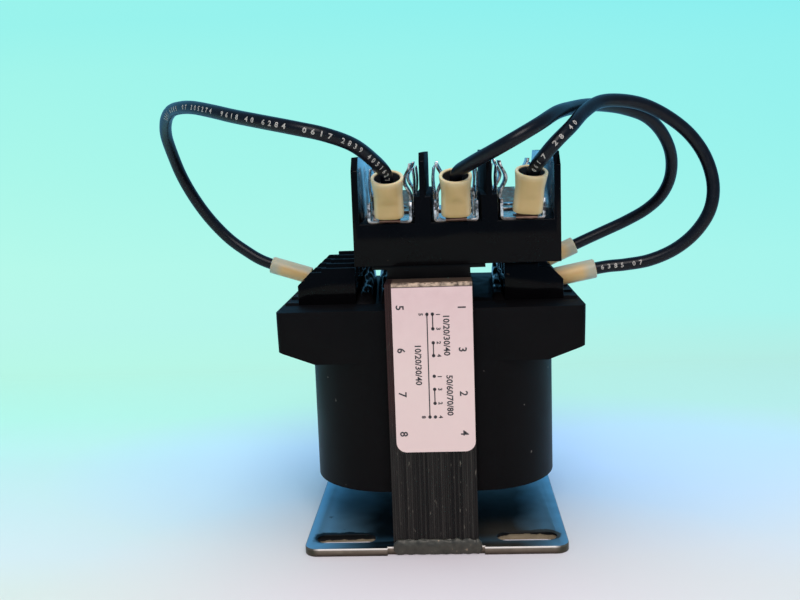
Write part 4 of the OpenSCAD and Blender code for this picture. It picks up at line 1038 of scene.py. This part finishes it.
print("bracket faces:", len(bracket.data.polygons), "coil finishes:", list(WINDINGS))

# %% [markdown]
# ## The paper label
# A paper label is stuck to the front of the core and folded over its top edge. It is a thin sheet, bent over a small
# radius, with round lower corners and a slightly torn rear edge. It is drawn as rows of points along the bend, which
# gives the fold directly. A plain connection diagram is printed on it: two bars with dots, and terminal numbers that
# read from the top down.

# %% Finishes of the label
# Coated paper is smooth with a soft shine. It is pinkish here, and brown where it is folded over.
paper, tree, shader, where, _, shade = mottled(
    "coated_paper", 4, 5.0, "#d9bab7", "#e5c8c5", (0.4, 0.6), Specular_IOR_Level=0.4)
split = add(tree, "SeparateXYZ", {"Vector": where})
height = split.outputs["Z"]
# Towards the bottom the paper is paler and less pink: the paleness is painted light that evens out the light falling
# off there, and the less pink tone is the paper's own.
shade = laid_over(tree, shade, height, 0.078, 0.055, "#e6cec6", 0.8)
folded = add(tree, "MapRange", {"Value": height, "From Min": 0.0808, "From Max": 0.081})
aged = add(tree, "Mix", {0: folded, 6: shade, 7: "#c4ab92"}, data_type="RGBA")
crease = add(tree, "Math", {0: height, 1: 0.08085, 2: 0.00016}, operation="COMPARE")
lined = laid_over(tree, aged, crease, 0.0, 1.0, "#33261e", 0.8)
# The part that lies on top is dirty towards its torn rear edge.
torn = add(tree, "TexNoise", {"Vector": where, "Scale": per_mm(1.3), "Detail": 3.0})
rear = add(tree, "Math", {0: torn, 1: 0.006, 2: split.outputs["Y"]}, operation="MULTIPLY_ADD")
grime = add(tree, "MapRange", {"Value": rear, "From Min": -0.0455, "From Max": -0.0435, "To Max": 0.95})
grime = add(tree, "Math", {0: grime, 1: folded}, operation="MULTIPLY")
feed(shader, {"Base Color": add(tree, "Mix", {0: grime, 6: lined, 7: "#3a2b22"}, data_type="RGBA")})
black_ink = mottled("black_printing_ink", 0.6, 2.0, "#1c1a1c", "#3d383a", Roughness=0.5)[0]
print("finishes:", paper.name, black_ink.name)

# %% Bend the label
LABEL_X0, LABEL_X1, LABEL_T = -10.7, 12.5, 0.2
FRONT, CORE_TOP, LABEL_FOOT, FOLD, CORNER, BEND = -47.62, 81.82, 31.8, 9.0, 3.0, 0.5


def label_path():
    """Points of the label's middle line, from its foot up the front and back over the top."""
    path = [(s, FRONT, LABEL_FOOT + s) for s in (CORNER * (1 - math.cos(math.pi / 2 * k / 8)) for k in range(9))]
    rise = CORE_TOP - BEND - LABEL_FOOT
    path += [(rise * k / 12, FRONT, LABEL_FOOT + rise * k / 12) for k in range(2, 13)]
    for a in (math.pi / 2 * k / 6 for k in range(1, 7)):
        path.append((rise + BEND * a, FRONT + BEND * (1 - math.cos(a)), CORE_TOP - BEND * (1 - math.sin(a))))
    path += [(path[-1][0] + d, FRONT + BEND + d, CORE_TOP) for d in (FOLD - BEND) * Vector((0.25, 0.5, 0.75))]
    return path + [(path[-1][0] + 2.1, FRONT + FOLD, CORE_TOP)]


def label_mesh(columns=40):
    work = bmesh.new()
    middle, half = (LABEL_X0 + LABEL_X1) / 2, (LABEL_X1 - LABEL_X0) / 2
    path = label_path()
    rows = []
    for number, (s, y, z) in enumerate(path):
        inset = CORNER - math.sqrt(max(0, CORNER ** 2 - (CORNER - s) ** 2)) if s < CORNER else 0
        row = []
        for k in range(columns + 1):
            x = middle + (half - inset) * (2 * k / columns - 1)
            torn = 0.45 * noise.noise(Vector((x * 1.3, 4, 0))) if number == len(path) - 1 else 0
            row.append(work.verts.new(Vector((x, y + torn, z)) * MM))
        rows.append(row)
    skin_rows(work, rows, closed=False)
    return finished(work, "paper_label", outward=False)


label = new_piece("paper_label", label_mesh(), paper)
thick = label.modifiers.new("thickness", "SOLIDIFY")
thick.thickness = LABEL_T * MM
thick.offset = 1
shaded(baked(label).data, 45)
keep_piece(label, "label_paper", "label")
print("label faces:", len(label.data.polygons), "lowest corner, mm:", in_mm(label.bound_box[0]))

# %% Print the label
PRINT_Y, LINE, DOT, SMALL, MEDIUM, LARGE = FRONT - LABEL_T - 0.03, 0.32, 0.5, 1.15, 1.8, 2.3
LEFT_BAR, RIGHT_BAR = -0.65, 0.95
TAPS = (72.9, 68.6, 64.5, 60.7, 54.6, 50.7, 46.5, 42.4)


def printed(work, outline):
    """A flat inked face on the front of the label."""
    work.faces.new([work.verts.new(Vector((x, PRINT_Y, z)) * MM) for x, z in outline])


def bar(work, x, top, foot_z):
    near, far = x - LINE / 2, x + LINE / 2
    printed(work, [(near, foot_z), (far, foot_z), (far, top), (near, top)])


def dot(work, x, z):
    printed(work, [(x + DOT * math.cos(a), z + DOT * math.sin(a)) for a in round_angles(20)])


def figures(work, x, z, body, height):
    """Figures that read from the top down, with their feet at x and their middle at z."""
    mesh = text_mesh(body, height, bold=0.06)
    length = max(v.co.x for v in mesh.vertices)
    for v in mesh.vertices:
        v.co = Vector((x + v.co.y, PRINT_Y, z + length / 2 - v.co.x)) * MM
    work.from_mesh(mesh)


work = bmesh.new()
for x, column in ((-9.5, "5678"), (8.3, "1324")):
    for body, z in zip(column, (75, 62.4, 49.3, 37.4)):
        figures(work, x, z, body, LARGE)
bar(work, LEFT_BAR, TAPS[0], TAPS[-1])
for first in (0, 2, 5):
    bar(work, RIGHT_BAR, TAPS[first], TAPS[first + 1])
for z, body in zip(TAPS, "13241324"):
    dot(work, RIGHT_BAR, z)
    figures(work, 2.0, z, body, SMALL)
for z, body in ((TAPS[0], "5"), (TAPS[-1], "8")):
    dot(work, LEFT_BAR, z)
    figures(work, -3.0, z, body, SMALL)
for x, z, body in ((4.0, 66.7, "10/20/30/40"), (4.5, 48.8, "50/60/70/80"), (-4.4, 58.1, "10/20/30/40")):
    figures(work, x, z, body, MEDIUM)
mesh = finished(work, "label_print")
for face in mesh.polygons:
    if face.normal.y > 0:
        face.flip()
keep_piece(new_piece("label_print", mesh, black_ink), "label_paper")
print("label print faces:", len(mesh.polygons))

# %% [markdown]
# ## Floor, backdrop and light
# The object stands on a pale sweep of paper that turns from a cool white at the front to a light cyan behind. The
# sweep is one sheet: floor, bend and wall. Far from the object it gives its own colour to what the camera and
# mirrors see, so the gradient stays even, and near the object it is plain paper that takes the shadow. Its UV map
# measures metres along and across the sheet.

# %% Build the sweep
HALF_WIDTH, NEAR_END, BEND_FROM, BEND_R, WALL_STEPS = 1.8, -1.4, 0.35, 0.3, 4


def sweep_mesh():
    work = bmesh.new()
    uv = work.loops.layers.uv.new("UVMap")
    path = [(NEAR_END + (BEND_FROM - NEAR_END) * k / 10, 0) for k in range(11)]
    path += [(BEND_FROM + BEND_R * math.sin(a), BEND_R - BEND_R * math.cos(a))
             for a in (math.pi / 2 * k / 16 for k in range(1, 17))]
    path += [(BEND_FROM + BEND_R, BEND_R + 0.3 * k) for k in range(1, WALL_STEPS + 1)]
    lengths = [NEAR_END]
    for a, b in zip(path, path[1:]):
        lengths.append(lengths[-1] + math.dist(a, b))
    rows = [[work.verts.new((x, y, z)) for x in (-HALF_WIDTH, HALF_WIDTH)] for y, z in path]
    skin_rows(work, rows, closed=False)
    work.verts.index_update()
    for face in work.faces:
        for loop in face.loops:
            loop[uv].uv = (loop.vert.co.x, lengths[loop.vert.index // 2])
    mesh = finished(work, "paper_sweep", outward=False)
    mesh.shade_smooth()
    return mesh


sheet = sweep_mesh()
print("sweep rows:", len(sheet.polygons))

# %% Tones of the sweep
def oval(tree, uv, middle, radii, share):
    """How much of an oval patch of the sheet covers a point, up to this share in its middle."""
    away = add(tree, "VectorMath", {0: uv, 1: middle}, operation="SUBTRACT")
    away = add(tree, "VectorMath", {0: away, 1: (1 / radii[0], 1 / radii[1], 0)}, operation="MULTIPLY")
    away = add(tree, "VectorMath", {0: away}, operation="LENGTH")
    return add(tree, "MapRange", {"Value": away, "From Min": 1.0, "From Max": 0.3, "To Max": share})


# Sweep paper is matt and plain.
sweep_paper, tree, shader, _ = new_finish("pale_sweep_paper", Roughness=0.9, Specular_IOR_Level=0.1)
uv = tree.nodes["Texture Coordinate"].outputs["UV"]
place = add(tree, "SeparateXYZ", {"Vector": uv})
across, back = place.outputs["X"], place.outputs["Y"]
along = add(tree, "MapRange", {"Value": back, "From Min": -0.1, "From Max": 0.9})
ramp = add(tree, "ValToRGB", {"Fac": along})
STOPS = [(0.03, "#d3dcde"), (0.055, "#cfdde8"), (0.09, "#c7dde8"), (0.142, "#bddfe6"), (0.213, "#b2eae6"),
         (0.325, "#b3f3eb"), (0.49, "#b2f5ec"), (0.58, "#aff6ec"), (0.715, "#a3f4ec"), (0.825, "#9bf2ed"),
         (0.875, "#93f0ee")]
for k, (position, code) in enumerate(STOPS):
    stop = ramp.color_ramp.elements[k] if k < 2 else ramp.color_ramp.elements.new(position)
    stop.position = position
    stop.color = srgb(code)
# The floor and the wall each change a little from left to right.
tints = []
for half, left_tint, right_tint in ((0.2, (1.07, 1.07, 0.95, 1), (1.07, 0.93, 0.92, 1)),
                                    (0.4, (1.1, 1.03, 0.985, 1), (0.86, 0.985, 1.02, 1))):
    sideways = add(tree, "MapRange", {"Value": across, "From Min": -half, "From Max": half})
    tints.append(add(tree, "Mix", {0: sideways, 6: left_tint, 7: right_tint}, data_type="RGBA"))
tint = laid_over(tree, tints[0], back, 0.12, 0.35, tints[1])
paper_tone = add(tree, "Mix", {0: 1.0, 6: ramp, 7: tint}, data_type="RGBA", blend_type="MULTIPLY")
# A pale blue oval round and behind the object is a painted shadow: the bluish shade that the object throws on the
# floor.
painted_shadow_pool = oval(tree, uv, (0.015, 0.045, 0), (0.17, 0.1), 0.85)
cool = add(tree, "Mix", {0: painted_shadow_pool, 6: paper_tone, 7: "#bdd6ff"}, data_type="RGBA")
# A warm oval in front of the object is a painted pool of light.
painted_light_pool = oval(tree, uv, (0, -0.08, 0), (0.12, 0.09), 1.0)
warm = add(tree, "Mix", {0: painted_light_pool, 6: cool, 7: "#e2dadb"}, data_type="RGBA")
feed(shader, {"Base Color": warm})
print("stops in the sweep's gradient:", len(STOPS))

# %% What the camera and mirrors see of the sweep
# Mirrors see a bluer wall than the camera does, as the black plastic in the photograph shows.
ray = add(tree, "LightPath").outputs
mirrored = laid_over(tree, paper_tone, ray["Is Glossy Ray"], 0.0, 1.0, "#5fb4f8", 0.8)
glow = add(tree, "Emission", {"Color": mirrored})
seen = add(tree, "Math", {0: ray["Is Camera Ray"], 1: ray["Is Glossy Ray"]}, operation="MAXIMUM")
seen = add(tree, "Math", {0: seen, 1: ray["Is Transmission Ray"]}, operation="MAXIMUM")
far = add(tree, "MapRange", {"Value": back, "From Min": 0.06, "From Max": 0.2})
share = add(tree, "Math", {0: seen, 1: far}, operation="MULTIPLY")
feed(tree.nodes["Material Output"], {"Surface": add(tree, "MixShader", {0: share, 1: shader, 2: glow})})
sweep = new_piece("paper_sweep", sheet, sweep_paper)
print("stage:", sweep.name)

# %% Light the scene
def softbox(name, place, target, size, power, colour):
    lamp = bpy.data.lights.new(name, "AREA")
    lamp.shape = "RECTANGLE"
    lamp.size, lamp.size_y = size
    lamp.energy = power
    lamp.color = srgb(colour)[:3]
    holder = linked(name, lamp)
    holder.location = place
    holder.rotation_euler = (Vector(target) - Vector(place)).to_track_quat("-Z", "Y").to_euler()
    return holder


above = softbox("softbox_above", (0.1, 0.1, 1.1), (0, 0, 0), (1.3, 1.1), 7, "#ffffff")
above.visible_glossy = False
softbox("softbox_front", (0.12, -1.0, 0.95), (0, 0, 0.06), (0.7, 0.7), 9.5, "#fff4f0")
world = bpy.data.worlds.new("studio")
world.use_nodes = True
ray = add(world.node_tree, "LightPath").outputs
tint = add(world.node_tree, "Mix", {0: ray["Is Glossy Ray"], 6: "#dce7ff", 7: "#8fc4f2"}, data_type="RGBA")
feed(world.node_tree.nodes["Background"], {"Color": tint, "Strength": 0.53})
scene.world = world
